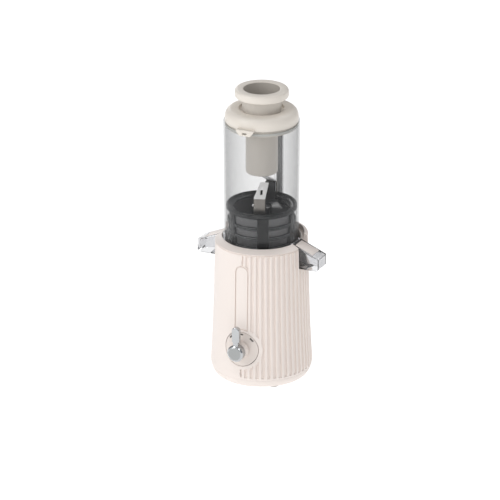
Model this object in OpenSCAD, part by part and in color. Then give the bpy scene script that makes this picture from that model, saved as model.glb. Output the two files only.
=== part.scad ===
// Slow juicer: fluted base with a geared drive, and a clear bowl with strainer, auger, lid and pusher.
// Z is up, the dial faces -Y, and the origin is on the floor under the drive shaft.

/* [Base body] */
// Widest diameter of the base
base_d = 135; // [126:1:145]
// Width of the sloping shoulder, from the mouth to the crease
shoulder_w = 9.9; // [9:0.1:12]
// Diameter of the flat underside
underside_d = 112; // [106:0.5:118]
// Height of the crease
crease_z = 192.3; // [188:0.1:200]
// Height of the widest point
widest_z = 24; // [20:1:28]
// Rise of the shoulder from the crease to the mouth
shoulder_h = 5.7; // [4:0.1:7]
// Wall of the base mouldings
shell_t = 3.2; // [2.8:0.1:3.8]
// Height of the rubber feet that shows
foot_h = 3; // [2:0.5:5]
// Radius of a rubber foot
foot_r = 7; // [5:0.5:8]
// Height of the bottom cover
cover_h = 12; // [10:0.5:14]
// Rise of the rear wall above the shoulder
rear_rise = 8.5; // [6:0.5:12]
// Gap between the mouth and the rear wall
rear_gap = 4.7; // [3:0.1:5.5]
// Angle that the rear wall spans
rear_span = 150; // [120:2:152]

/* [Flutes] */
// Number of flutes that a full turn would hold
flutes_per_turn = 54; // [40:1:60]
// Depth of a flute
flute_depth = 1.6; // [0.8:0.1:1.8]
// Part of the pitch that a flute takes
flute_share = 0.48; // [0.3:0.01:0.6]
// Height at which the flutes start
flute_z = 18.4; // [18:0.1:26]

/* [Name strip] */
// Width of the strip
strip_w = 16; // [12:0.5:20]
// Width of the groove round the strip
strip_groove = 1.6; // [1:0.1:2.4]
// Height of the strip's rounded top
strip_top_z = 173.5; // [150:0.5:178]
// Thickness of the strip
strip_t = 1.4; // [1:0.1:1.8]

/* [Dial] */
// Height of the dial's centre
dial_z = 58.5; // [56:0.5:64]
// Radius of the dial plate
plate_r = 23.4; // [20:0.1:25]
// Width of the smooth ring round the dial plate
dial_ring = 5.4; // [4:0.1:7]
// Thickness of the dial plate
plate_t = 4; // [3:0.1:5]
// Radius of the cream collar behind the knob
collar_r = 11.2; // [9:0.1:12]
// Height of the collar
collar_h = 7.6; // [5:0.1:10]
// Radius of the knob's hub
hub_r = 11.5; // [9:0.1:13]
// Depth of the knob's hub
hub_h = 11; // [8:0.1:14]
// Reach of the lever above the dial's centre
lever_reach = 36.5; // [30:0.5:40]
// Width of the lever
lever_w = 10.6; // [8:0.1:13]
// Radius of the knob's stem
stem_r = 3; // [2.5:0.1:4]

/* [Drive] */
// Width across the flats of the drive shaft
hex_af = 12; // [10:0.1:12.6]
// Height of the drive shaft's top above the bowl's floor
hex_reach = 32; // [20:1:36]
// Height of the gearbox case's underside
case_z = 106; // [100:1:108]
// Wall of the gearbox case
case_t = 2.5; // [2:0.1:3]
// Tooth module of the first gear pair
module_1 = 0.7; // [0.6:0.05:0.8]
// Tooth module of the second gear pair
module_2 = 0.75; // [0.65:0.05:0.8]
// Tooth module of the third gear pair
module_3 = 1; // [0.9:0.05:1.05]
// Face width of the first gear pair
face_1 = 7; // [5:0.5:8]
// Face width of the second gear pair
face_2 = 9; // [6:0.5:10]
// Face width of the third gear pair
face_3 = 10; // [8:0.5:11]

/* [Motor] */
// Radius of the motor can
motor_r = 21; // [18:0.5:22]
// Height of the motor can
motor_h = 64; // [50:1:68]
// Radius of the motor shaft
motor_shaft_r = 2.5; // [2:0.1:3]
// Radius of the cooling fan
fan_r = 17; // [12:0.5:20]

/* [Bowl] */
// Outer diameter of the bowl at its top
bowl_top_d = 101.2; // [99:0.1:103]
// How much narrower the bowl is at the base's rim
bowl_taper = 2.5; // [1:0.1:4]
// Height of the bowl's rim
bowl_top_z = 359.4; // [340:0.2:380]
// Wall of the bowl
bowl_t = 2.2; // [1.8:0.1:2.6]
// Floor of the bowl
bowl_floor_t = 2.6; // [2:0.1:3]
// Gap between the bowl's outside and the base's mouth
mouth_gap = 2.2; // [1.5:0.1:3]

/* [Spouts] */
// Reach of the spouts from the centre
spout_reach = 88; // [84:0.5:95]
// Outside width of a spout
spout_w = 24.4; // [20:0.2:25]
// Height of a spout's lower edge
spout_z = 163.5; // [162:0.5:166]
// Height of a spout's end plate
spout_tip_h = 17.5; // [13:0.5:20]
// Slope of a spout's roof
spout_slope = 22.5; // [15:0.5:24]
// Wall of a spout
spout_t = 2; // [1.6:0.1:2.4]
// Thickness of a spout's cover
spout_cover_t = 1; // [0.8:0.1:1.2]

/* [Strainer] */
// Height of the strainer's rim
strainer_top_z = 243; // [236:0.5:250]
// Gap between the strainer's rim and the bowl
strainer_gap = 0.45; // [0.3:0.05:0.8]
// Outer radius of the strainer's foot
strainer_foot_r = 38.5; // [38:0.1:40]
// Wall of the strainer frame
strainer_t = 2.2; // [1.8:0.1:2.4]
// Height of the rim band
rim_band_h = 6.5; // [5:0.5:9]
// Angle of a narrow rib
rib_angle = 10.7; // [8:0.1:14]
// Angle of the wide rib
wide_rib_angle = 19; // [14:0.5:22]
// Thickness of the fine strainer
mesh_t = 0.6; // [0.5:0.1:0.8]

/* [Auger] */
// Radius of the auger's core at its foot
auger_foot_r = 25; // [22:0.5:27]
// Radius of the auger's core at its top
auger_top_r = 13; // [11:0.5:16]
// Height that a flight climbs in one turn
flight_pitch = 84; // [70:1:100]
// Thickness of a flight at its edge
flight_t = 3.2; // [2.4:0.1:4]
// Diameter of the auger's stem
stem_d = 18; // [17.4:0.1:19]
// Width of a cutter
cutter_w = 15; // [12:0.5:17]
// Thickness of a cutter's steel
cutter_t = 1.4; // [1:0.1:1.8]
// Height of a cutter's upright above the strainer's rim
cutter_rise = 19; // [14:0.5:20]
// Sideways lean of a cutter's tip
cutter_lean = 4.9; // [0:0.1:6]

/* [Lid and pusher] */
// Step from the bowl's rim in to the lid's edge
lid_step = 2.2; // [1.6:0.1:3]
// Height of the lid above the bowl's rim
lid_h = 16.6; // [14:0.1:20]
// Depth of the lid's skirt in the bowl
skirt_h = 8; // [7:0.1:10]
// Radius of the pusher's tube
pusher_r = 21.1; // [19:0.1:22.5]
// Length of the pusher's tube below the lid's recess
pusher_drop = 87; // [70:0.5:88]
// Radius of the pusher's neck
neck_r = 26; // [25:0.1:28]
// Radius of the pusher's flange
flange_r = 35.4; // [32:0.1:38]
// Thickness of the pusher's flange
flange_h = 12.4; // [8:0.1:14]
// Length of the pusher's neck up to its flange
neck_h = 18.6; // [15:0.1:24]
// Radius of the pusher's mouth
pusher_mouth_r = 24; // [23:0.1:24.8]

/* [Interlock] */
// Radius of the interlock rod
rod_r = 4; // [3.6:0.1:4.2]
// Travel of the rod as the lid comes off
rod_travel = 2.5; // [1.5:0.1:3]

/* [Fits] */
// Radial clearance of a running fit
run_gap = 0.06; // [0.03:0.01:0.09]
// Clearance between neighbours that move
move_gap = 0.3; // [0.25:0.05:0.4]
// Clearance round a piece that drops into its seat
seat_gap = 0.15; // [0.1:0.05:0.25]

/* [Hidden] */
$fn = 96;

cream = [0.95, 0.91, 0.88];
lid_cream = [0.92, 0.89, 0.85];
charcoal = [0.27, 0.28, 0.29];
clear = [0.85, 0.88, 0.9, 0.35];
steel = [0.75, 0.76, 0.78];
dark_steel = [0.5, 0.51, 0.53];
brass_tone = [0.8, 0.66, 0.35];
grey_plastic = [0.55, 0.56, 0.57];
black_rubber = [0.15, 0.15, 0.15];
silicone = [0.8, 0.8, 0.78];
board_green = [0.1, 0.35, 0.2];

// Teeth of each gear pair, pinion and wheel: motor to first, first to second, second to output.
teeth_1 = [12, 48];
teeth_2 = [12, 48];
teeth_3 = [14, 56];
// Height of a tooth's tip above the pitch circle, in modules.
tip_share = 0.72;
reach_3 = module_3 * (teeth_3[0] + teeth_3[1]) / 2;
case_in_r = reach_3 + module_2 * (teeth_2[1] / 2 + tip_share) + 1;
case_r = case_in_r + case_t;

base_r = base_d / 2;
underside_r = underside_d / 2;
join_z = foot_h + cover_h;
bowl_r = (bowl_top_d - bowl_taper) / 2;
mouth_r = bowl_r + mouth_gap;
// The crease stays clear of the bowl's mouth and of the gearbox inside.
crease_r = max(mouth_r + shoulder_w, case_r + shell_t + 1);
rim_z = crease_z + shoulder_h;

// Outside radius of the base at a height: rounded below the widest point, a flared taper above it.
function body_r(z) = z < widest_z
    ? underside_r + (base_r - underside_r) * sqrt(1 - pow((widest_z - z) / (widest_z - foot_h), 2))
    : crease_r + (base_r - crease_r) * (0.7 * rise_t(z) + 0.3 * pow(rise_t(z), 4));
function rise_t(z) = (crease_z - z) / (crease_z - widest_z);
// Heights from a to b in n equal steps.
function steps(a, b, n) = [for (i = [0:n]) a + (b - a) * i / n];
function backwards(list) = [for (i = [len(list) - 1:-1:0]) list[i]];
rear_out_z = crease_z + rear_rise;
shell_heights = concat(steps(join_z, widest_z, 3), [for (z = steps(widest_z, rear_out_z, 6)) if (z > widest_z) z]);

module revolve(points) {
    rotate_extrude() polygon(points);
}

module sector(points, from, span) {
    rotate([0, 0, from]) rotate_extrude(angle = span) polygon(points);
}

module ring(r_in, r_out, z, h) {
    revolve([[r_in, z], [r_out, z], [r_out, z + h], [r_in, z + h]]);
}

module rod(r, z, h) {
    translate([0, 0, z]) cylinder(r = r, h = h);
}

module each_side() {
    children();
    mirror([1, 0, 0]) children();
}

// Places children along the front axis, with local z pointing out of the dial.
module at_dial(depth) {
    translate([0, -depth, dial_z]) rotate([90, 0, 0]) children();
}

// Screw places of the bottom cover.
boss_r = 51;
boss_angles = [30, 150, 210, 330];
boss_out_r = 5;
screw_r = 1.6;
screw_head_r = 3.2;
screw_head_h = 2.2;
floor_z = foot_h + 2.5;
boss_z = join_z + 5;
boss_top_z = boss_z + 24;

module at_bosses() {
    for (a = boss_angles) rotate([0, 0, a]) translate([boss_r, 0, 0]) children();
}

// Notch for a spout in the base.
notch_gap = 0.8;
notch_w = spout_w + 2 * notch_gap;
notch_z = spout_z - 1.5;
function shoulder_z(r) = rim_z - (r - mouth_r) * shoulder_h / (crease_r - mouth_r);
rear_in_r = mouth_r + rear_gap;
rear_in_z = shoulder_z(rear_in_r) + rear_rise;
rear_from = 90 - rear_span / 2;
ledge_rise = 0.3;

module notches() {
    each_side() translate([bowl_r - 5, -notch_w / 2, notch_z]) cube([base_r, notch_w, rim_z]);
}

// Flutes run from the front centre line over the right half to the back.
flute_pitch = 360 / flutes_per_turn;
flute_w = base_r * 2 * PI / flutes_per_turn * flute_share;
flute_top_z = crease_z - 2.3;
rear_flute_top_z = rear_out_z - 2.3;

module flute(top) {
    heights = concat(steps(flute_z, widest_z, 1),
        [for (z = steps(widest_z, top, 5)) if (z > widest_z) z]);
    rotate([90, 0, 0]) linear_extrude(flute_w, center = true)
        polygon(concat([for (z = heights) [body_r(z) - flute_depth, z]],
            [[base_r + 5, top], [base_r + 5, flute_z]]));
}

module flutes() {
    for (i = [0:floor(flutes_per_turn / 2)]) {
        around = i * flute_pitch - 90;
        rotate([0, 0, around])
            flute(around > rear_from + 2 && i * flute_pitch <= 180 ? rear_flute_top_z : flute_top_z);
    }
}

// Outline of the strip, drawn in x and z: a rounded top and straight sides down to the dial.
module strip_outline(w) {
    translate([0, strip_top_z - strip_w / 2]) circle(r = w / 2);
    translate([-w / 2, dial_z]) square([w, strip_top_z - strip_w / 2 - dial_z]);
}

module through_front(from) {
    translate([0, -from, 0]) rotate([90, 0, 0]) linear_extrude(base_r) children();
}

plate_hole_r = plate_r + move_gap;
smooth_r = plate_r + dial_ring;

module smooth_zone() {
    through_front(crease_r - 20) union() {
        strip_outline(strip_w + 2 * strip_groove);
        translate([0, dial_z]) circle(r = smooth_r);
    }
}

// Band of the base's surface from one depth to another, which inlaid pieces are cut from.
module surface_band(outer, inner) {
    heights = steps(widest_z, crease_z, 6);
    revolve(concat([for (z = heights) [body_r(z) - outer, z]],
        [for (z = backwards(heights)) [body_r(z) - inner, z]]));
}

// Interlock line at the back of the bowl.
rod_hole_r = rod_r + run_gap;
rod_wall = 1.4;
tip_r = rod_r * 0.6;
seat_r = mouth_r - 0.4;
seat_t = 2.2;
switch_t = 4.4;
switch_w = 11.6;
rod_y = seat_r + seat_t + 0.3 + switch_t / 2;
rod_foot_z = rear_in_z - 9;
rod_pad_w = 12;
guide_z = rear_in_z + 2.5;

// Power inlet at the back, near the floor.
inlet_w = 24;
inlet_h = 16;
inlet_z = 34;
inlet_t = 2;

// Thickness of the shoulder, measured upwards.
lip_h = 3;

module body_shell() {
    inside = [for (z = backwards(shell_heights)) if (z < crease_z - shell_t) [body_r(z) - shell_t, z]];
    color(cream) difference() {
        union() {
            revolve(concat([for (z = shell_heights) [body_r(z), z]],
                [[rear_in_r, rear_in_z], [rear_in_r, shoulder_z(rear_in_r) + ledge_rise],
                [mouth_r, rim_z + ledge_rise], [mouth_r, rim_z - lip_h],
                [crease_r - shell_t, crease_z - lip_h]], inside));
            translate([-rod_pad_w / 2, mouth_r + 0.5, rim_z - lip_h])
                cube([rod_pad_w, rear_gap + 0.5, rear_in_z - rim_z + lip_h]);
            intersection() {
                at_bosses() {
                    rod(boss_out_r, boss_z, boss_top_z - boss_z);
                    translate([0, -1.2, boss_z]) cube([20, 2.4, boss_top_z - boss_z]);
                }
                rod(body_r(boss_top_z) - 1, 0, boss_top_z + 5);
            }
        }
        sector([[mouth_r - 2, shoulder_z(mouth_r - 2)], [base_r, shoulder_z(base_r)], [base_r, rear_in_z + 5],
            [mouth_r - 2, rear_in_z + 5]], rear_from + rear_span, 360 - rear_span);
        difference() {
            flutes();
            smooth_zone();
        }
        intersection() {
            through_front(crease_r - 20) difference() {
                strip_outline(strip_w + 2 * strip_groove);
                translate([0, dial_z]) circle(r = smooth_r - strip_groove);
            }
            surface_band(-5, strip_t);
        }
        at_dial(20) cylinder(r = plate_hole_r, h = base_r);
        notches();
        translate([0, rod_y, rear_in_z - 35]) cylinder(r = tip_r + run_gap, h = 60);
        translate([-inlet_w / 2, crease_r - 15, inlet_z - inlet_h / 2]) cube([inlet_w, 40, inlet_h]);
        at_bosses() rod(screw_r + 0.05, boss_z - 1, 16);
    }
}

foot_place_r = 46;
foot_sink = 1;

module at_feet() {
    children();
    for (a = [45:90:315]) rotate([0, 0, a]) translate([foot_place_r, 0, 0]) children();
}

vent_count = 6;
vent_w = 2;
vent_l = 24;

module bottom_cover() {
    lip_r = body_r(join_z) - shell_t - seat_gap;
    lip_t = 2.2;
    rise = steps(0, 90, 6);
    color(cream) difference() {
        union() {
            revolve(concat([[0, foot_h]], [for (z = steps(foot_h, join_z, 8)) [body_r(z), z]],
                [[lip_r, join_z], [lip_r, join_z + 3], [lip_r - lip_t, join_z + 3]],
                [for (a = backwards(rise)) [underside_r - 5 + (lip_r - lip_t - underside_r + 5) * sin(a),
                    join_z - 1 - (join_z - 1 - floor_z) * cos(a)]], [[0, floor_z]]));
            at_bosses() rod(boss_out_r, floor_z - 0.5, boss_z - floor_z + 0.5);
            at_board_posts() rod(2.5, floor_z - 0.5, board_z - floor_z + 0.5);
        }
        at_feet() rod(foot_r + 0.1, foot_h - 1, 1 + foot_sink);
        at_bosses() {
            rod(screw_r + 0.2, 0, 40);
            rod(screw_head_r + 0.3, 0, foot_h + 6);
        }
        for (i = [0:vent_count - 1]) translate([foot_r + 2 + 2 * vent_w * i, motor_y - vent_l / 2, 0])
            cube([vent_w, vent_l, 10]);
    }
}

module rubber_feet() {
    color(black_rubber) at_feet() rod(foot_r, 0, foot_h + foot_sink);
}

module cover_screws() {
    color(steel) at_bosses() {
        rod(screw_head_r, foot_h + 6 - screw_head_h, screw_head_h);
        rod(screw_r, foot_h + 5, 26);
    }
}

module front_strip() {
    color(cream) intersection() {
        through_front(crease_r - 20) difference() {
            strip_outline(strip_w);
            translate([0, dial_z]) circle(r = smooth_r);
        }
        surface_band(0, strip_t);
    }
}

module dial_plate() {
    color(cream) difference() {
        intersection() {
            through_front(crease_r - 20) translate([0, dial_z]) circle(r = plate_r);
            surface_band(0, plate_t);
        }
        at_dial(20) cylinder(r = stem_r + run_gap, h = base_r);
    }
}

// Knob, drawn with local z pointing out of the dial.
collar_back = body_r(dial_z - collar_r - 0.8) + 0.1;
hub_back = collar_back + collar_h;
switch_depth = 15;
nose_r = 8;
switch_front = sqrt(pow(body_r(dial_z + nose_r) - plate_t, 2) - pow(nose_r, 2)) - 0.2;

module knob_collar() {
    color(cream) at_dial(collar_back) difference() {
        cylinder(r1 = collar_r + 0.8, r2 = collar_r, h = collar_h);
        translate([0, 0, -1]) cylinder(r = stem_r, h = collar_h + 2);
    }
}

module knob() {
    bevel = 1.6;
    neck_w = lever_w * 0.66;
    lever_low = hub_r + 3;
    lever_z = 2.4;
    lever_t = 6.4;
    color(steel) at_dial(hub_back) {
        cylinder(r1 = hub_r - bevel / 2, r2 = hub_r, h = bevel);
        translate([0, 0, bevel]) cylinder(r = hub_r, h = hub_h - 2 * bevel);
        translate([0, 0, hub_h - bevel]) cylinder(r1 = hub_r, r2 = hub_r - bevel, h = bevel);
        translate([-neck_w / 2, hub_r - 3, lever_z]) cube([neck_w, 8, lever_t - 1]);
        translate([0, 0, lever_z]) linear_extrude(lever_t) {
            translate([-lever_w / 2, lever_low]) square([lever_w, lever_reach - lever_low - lever_w / 2]);
            translate([0, lever_reach - lever_w / 2]) circle(r = lever_w / 2);
        }
        translate([0, 0, -(hub_back - switch_front + switch_depth - 5)])
            cylinder(r = stem_r, h = hub_back - switch_front + switch_depth - 4);
    }
}

module rotary_switch() {
    side = 24;
    color(charcoal) difference() {
        at_dial(switch_front - switch_depth) {
            translate([-side / 2, -side / 2, 0]) cube([side, side, switch_depth - 3]);
            cylinder(r = nose_r, h = switch_depth);
            for (x = [-8, 0, 8]) translate([x - 1, -5, -4]) cube([2, 0.8, 5]);
        }
        at_dial(switch_front - switch_depth + 4) cylinder(r = stem_r + run_gap, h = switch_depth);
    }
}

// Seat for the bowl: a cup under the mouth, with a channel each side for the spouts.
bowl_z = spout_z - spout_t - 5;
seat_z = bowl_z - 3;
seat_hole_r = 10;
seat_top_z = shoulder_z(mouth_r + seat_t) - lip_h - 0.3;

module bowl_seat() {
    channel_r = crease_r - shell_t - 0.4;
    color(cream) difference() {
        union() {
            revolve([[seat_hole_r, seat_z], [seat_r + seat_t, seat_z], [seat_r + seat_t, seat_top_z],
                [seat_r, seat_top_z], [seat_r, bowl_z], [seat_hole_r, bowl_z]]);
            intersection() {
                each_side() translate([seat_r, -notch_w / 2 - 2, notch_z - 2])
                    cube([20, notch_w + 4, crease_z - 5 - notch_z + 2]);
                rod(channel_r, notch_z - 5, 60);
            }
        }
        difference() {
            notches();
            rod(seat_r - 1, 0, rim_z + 10);
        }
    }
}

module shaft_seal() {
    color(black_rubber) ring(shaft_r + run_gap, seat_hole_r, seat_z, bowl_z - seat_z);
}

// Gear train, set out from the drive shaft back to the motor.
backlash = 0.12;
pressure = 20;
reach_2 = module_2 * (teeth_2[0] + teeth_2[1]) / 2;
reach_1 = module_1 * (teeth_1[0] + teeth_1[1]) / 2;
toward_second = 90;
toward_first = -30;
toward_motor = -90;
second_x = reach_3 * cos(toward_second);
second_y = reach_3 * sin(toward_second);
first_x = second_x + reach_2 * cos(toward_first);
first_y = second_y + reach_2 * sin(toward_first);
motor_x = first_x + reach_1 * cos(toward_motor);
motor_y = first_y + reach_1 * sin(toward_motor);

case_floor = 4;
gear_floor_z = case_z + case_floor;
level_1 = gear_floor_z + move_gap;
level_2 = level_1 + face_1 + 2.6;
level_3 = level_2 + face_2 + 3;
bearing_h = 7;
upper_bearing_z = level_3 + face_3 + 1;
case_top_z = upper_bearing_z + 3;
case_cover_t = bearing_h - 3;
shaft_r = 6;
shaft_foot_r = 4;
lower_bearing_r = 8;
lower_bearing_h = 5;
upper_bearing_r = 12;
pin_1_r = 1.5;
pin_2_r = 2;

// Involute flank: polar angle by which the flank has turned at a radius.
function roll(r, rb) = r <= rb ? 0 : sqrt(pow(r / rb, 2) - 1) * 180 / PI - acos(rb / r);
// Half the angle of a tooth at a radius, for a gear of n teeth and module m.
function half_tooth(r, n, m) = 90 / n - backlash * 90 / (PI * m * n)
    + roll(m * n / 2, m * n / 2 * cos(pressure)) - roll(r, m * n / 2 * cos(pressure));

function tooth_points(n, m, k) = let(
    root = m * n / 2 - m,
    tip = m * n / 2 + tip_share * m,
    base = max(m * n / 2 * cos(pressure), root + 0.05 * m),
    radii = concat([root], steps(base, tip, 3)),
    turn = 360 / n * k)
    concat(
        [for (r = radii) let(a = turn - half_tooth(max(r, base), n, m)) [r * cos(a), r * sin(a)]],
        [for (r = backwards(radii)) let(a = turn + half_tooth(max(r, base), n, m)) [r * cos(a), r * sin(a)]]);

module gear(n, m, face) {
    linear_extrude(face) polygon([for (k = [0:n - 1]) each tooth_points(n, m, k)]);
}

// A gear turned so that a tooth, or a gap, points in a direction.
module gear_toward(direction, n, m, face, gap) {
    rotate([0, 0, direction + (gap ? 180 / n : 0)]) gear(n, m, face);
}

module at_second() {
    translate([second_x, second_y, 0]) children();
}

module at_first() {
    translate([first_x, first_y, 0]) children();
}

module at_motor() {
    translate([motor_x, motor_y, 0]) children();
}

module motor_pinion() {
    color(brass_tone) at_motor() translate([0, 0, level_1]) difference() {
        gear_toward(toward_motor + 180, teeth_1[0], module_1, face_1 + 0.5, false);
        translate([0, 0, -1]) cylinder(r = motor_shaft_r, h = face_1 + 3);
    }
}

module first_gear() {
    color(grey_plastic) at_first() difference() {
        union() {
            translate([0, 0, level_1])
                gear_toward(toward_motor, teeth_1[1], module_1, face_1, true);
            translate([0, 0, level_1 + face_1])
                gear_toward(toward_first + 180, teeth_2[0], module_2, level_2 + face_2 - level_1 - face_1, false);
        }
        rod(pin_1_r + run_gap, level_1 - 1, level_3 - level_1);
    }
}

module second_gear() {
    color(grey_plastic) at_second() difference() {
        union() {
            rod(5, level_1, level_2 - level_1);
            translate([0, 0, level_2]) gear_toward(toward_first, teeth_2[1], module_2, face_2, true);
            translate([0, 0, level_2 + face_2])
                gear_toward(toward_second + 180, teeth_3[0], module_3, level_3 + face_3 - level_2 - face_2, false);
        }
        rod(pin_2_r + run_gap, level_1 - 1, case_top_z - level_1);
    }
}

module output_gear() {
    color(dark_steel) difference() {
        translate([0, 0, level_3]) gear_toward(toward_second, teeth_3[1], module_3, face_3, true);
        rod(7, level_3 - 1, face_3 + 2);
        for (a = [0:60:300]) rotate([0, 0, a]) translate([17, 0, level_3 - 1]) cylinder(r = 4.5, h = face_3 + 2);
    }
}

module drive_shaft() {
    color(steel) {
        rod(shaft_foot_r, gear_floor_z + 0.2, lower_bearing_h + 1.8);
        rod(7, gear_floor_z + lower_bearing_h + 1, level_3 + face_3 - gear_floor_z - lower_bearing_h - 1);
        rod(shaft_r, level_3 + face_3 - 1, bowl_z - level_3 - face_3 + 1);
        translate([0, 0, bowl_z]) intersection() {
            cylinder(r = hex_af / sqrt(3), h = hex_reach, $fn = 6);
            union() {
                cylinder(r = hex_af, h = hex_reach - 2);
                translate([0, 0, hex_reach - 2]) cylinder(r1 = hex_af / sqrt(3), r2 = hex_af / sqrt(3) - 2, h = 2);
            }
        }
    }
}

module gear_pins() {
    color(steel) {
        at_first() rod(pin_1_r, case_z + 0.5, case_top_z + 1 - case_z - 0.5);
        at_second() rod(pin_2_r, case_z + 0.5, case_top_z + 1 - case_z - 0.5);
    }
}

module gearbox_case() {
    color(grey_plastic) difference() {
        union() {
            revolve([[0, case_z], [case_r, case_z], [case_r, case_top_z], [case_r - case_t, case_top_z],
                [case_r - case_t, gear_floor_z], [0, gear_floor_z]]);
            rod(lower_bearing_r + 2, gear_floor_z - 0.5, lower_bearing_h + 0.5);
        }
        rod(lower_bearing_r, gear_floor_z, lower_bearing_h + 1);
        at_motor() rod(motor_boss_r + 0.2, case_z - 1, case_floor + 2);
        at_first() rod(pin_1_r, case_z + 0.5, case_floor);
        at_second() rod(pin_2_r, case_z + 0.5, case_floor);
    }
}

module gearbox_cover() {
    color(grey_plastic) difference() {
        union() {
            rod(case_r, case_top_z, case_cover_t);
            rod(upper_bearing_r + 2.5, upper_bearing_z, bearing_h);
            for (a = [45:90:315]) rotate([0, 0, a]) translate([seat_r - 13, 0, 0])
                rod(5, case_top_z + case_cover_t - 0.5, seat_z - case_top_z - case_cover_t + 0.5);
        }
        rod(upper_bearing_r, upper_bearing_z - 1, bearing_h + 2);
        at_first() rod(pin_1_r, case_top_z - 1, 2);
        at_second() rod(pin_2_r, case_top_z - 1, 2);
    }
}

module lower_bearing() {
    color(steel) ring(shaft_foot_r + run_gap, lower_bearing_r, gear_floor_z, lower_bearing_h);
}

module upper_bearing() {
    color(steel) ring(shaft_r + run_gap, upper_bearing_r, upper_bearing_z, bearing_h);
}

// Motor, hung under the gearbox case.
motor_boss_r = 6;
can_t = 1.5;
cap_h = 6;
motor_z = case_z - motor_h;
magnet_t = 3;
bush_h = 5;
bush_r = motor_shaft_r + 2;
core_r = motor_r - can_t - magnet_t - 0.6;
core_below = 14;
core_above = 12;
core_z = motor_z + core_below;
core_h = motor_h - core_below - core_above;
fan_z = motor_z - cap_h - 13;

module motor_can() {
    color(steel) at_motor() {
        difference() {
            union() {
                rod(motor_r, motor_z, motor_h);
                rod(motor_boss_r, case_z - 1, case_floor + 1);
            }
            rod(motor_r - can_t, motor_z - 1, motor_h - 1);
            rod(bush_r, case_z - 3, case_floor + 4);
        }
    }
}

module motor_end_cap() {
    color(charcoal) at_motor() difference() {
        union() {
            rod(motor_r, motor_z - cap_h, cap_h);
            rod(motor_r - can_t - 0.1, motor_z - 1, 4);
        }
        rod(motor_r - can_t - 2, motor_z - cap_h + 3, cap_h + 4);
        rod(bush_r, motor_z - cap_h - 1, cap_h + 4);
        for (a = [0:60:300]) rotate([0, 0, a]) translate([11, 0, 0]) rod(3, motor_z - cap_h - 1, cap_h + 4);
    }
}

module motor_magnets() {
    r = motor_r - can_t - 0.05;
    color(charcoal) at_motor() for (a = [20, 200]) sector([[r - magnet_t, core_z - 3], [r, core_z - 3],
        [r, core_z + core_h + 3], [r - magnet_t, core_z + core_h + 3]], a, 140);
}

module motor_bushes() {
    color(brass_tone) at_motor() {
        ring(motor_shaft_r + run_gap, bush_r, motor_z - cap_h, 3);
        ring(motor_shaft_r + run_gap, bush_r, case_z - 1, bush_h);
    }
}

module motor_shaft() {
    color(steel) at_motor() rod(motor_shaft_r, fan_z, level_1 + face_1 + 1 - fan_z);
}

module rotor_core() {
    color(dark_steel) at_motor() difference() {
        union() {
            rod(core_r, core_z, core_h);
            rod(6, core_z - 9, 10);
        }
        rod(motor_shaft_r, core_z - 10, core_h + 12);
        for (a = [0:40:320]) rotate([0, 0, a]) translate([core_r - 7, -1.2, core_z - 1]) cube([10, 2.4, core_h + 2]);
    }
}

module cooling_fan() {
    blades = 9;
    color(grey_plastic) at_motor() difference() {
        union() {
            rod(fan_r, fan_z, 1.5);
            rod(5, fan_z, 10);
            for (i = [0:blades - 1]) rotate([0, 0, i * 360 / blades])
                translate([4, -0.7, fan_z + 0.5]) cube([fan_r - 5, 1.4, 8.5]);
        }
        rod(motor_shaft_r, fan_z - 1, 12);
    }
}

board_z = floor_z + 5;
board = [44, 40];
board_x = -37;
board_y = -20;

module at_board_posts() {
    for (x = [4, board[0] - 4], y = [4, board[1] - 4]) translate([board_x + x, board_y + y, 0]) children();
}

module control_board() {
    color(board_green) {
        translate([board_x, board_y, board_z]) cube([board[0], board[1], 1.6]);
        translate([board_x + 12, board_y + 12, 0]) rod(6, board_z + 1, 15);
        translate([board_x + 10, board_y + 24, board_z + 1]) cube([14, 10, 9]);
    }
}

module power_inlet() {
    face_y = sqrt(pow(body_r(inlet_z), 2) - pow(inlet_w / 2, 2)) - 0.2;
    depth = 16;
    color(charcoal) difference() {
        union() {
            translate([-inlet_w / 2 + seat_gap, face_y - depth, inlet_z - inlet_h / 2 + seat_gap])
                cube([inlet_w - 2 * seat_gap, depth, inlet_h - 2 * seat_gap]);
            for (x = [-5, 5]) translate([x - 1.5, face_y - depth - 5, inlet_z - 0.4]) cube([3, 6, 0.8]);
        }
        for (x = [-4, 4]) translate([x, face_y - 11, inlet_z]) rotate([-90, 0, 0]) cylinder(r = 4.5, h = 20);
        translate([-4, face_y - 11, inlet_z - 4.5]) cube([8, 20, 9]);
    }
}

switch_top_z = rim_z - 9.5;

module interlock_switch() {
    color(charcoal) difference() {
        translate([-switch_w / 2, rod_y - switch_t / 2, switch_top_z - 11]) cube([switch_w, switch_t, 11]);
        translate([0, rod_y, 0]) rod(1.2 + run_gap, switch_top_z - 5, 6);
    }
}

module switch_plunger() {
    color(cream) translate([0, rod_y, 0]) {
        rod(tip_r, switch_top_z + 0.3, rod_foot_z - move_gap - switch_top_z - 0.3);
        rod(1.2, switch_top_z - 4.5, 5.5);
    }
}

// Bowl, which stands on the seat's floor.
function bowl_out_r(z) = bowl_r + bowl_taper / 2 * (z - rim_z) / (bowl_top_z - rim_z);
function bowl_in_r(z) = bowl_out_r(z) - bowl_t;
bowl_floor_z = bowl_z + bowl_floor_t;
stem_r_out = stem_d / 2;
bush_out_r = stem_r_out + 2.5;
tower_r = bush_out_r + 2.2;
tower_top_z = bowl_floor_z + 7.5;
guide_half_w = rod_hole_r + rod_wall;

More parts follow.
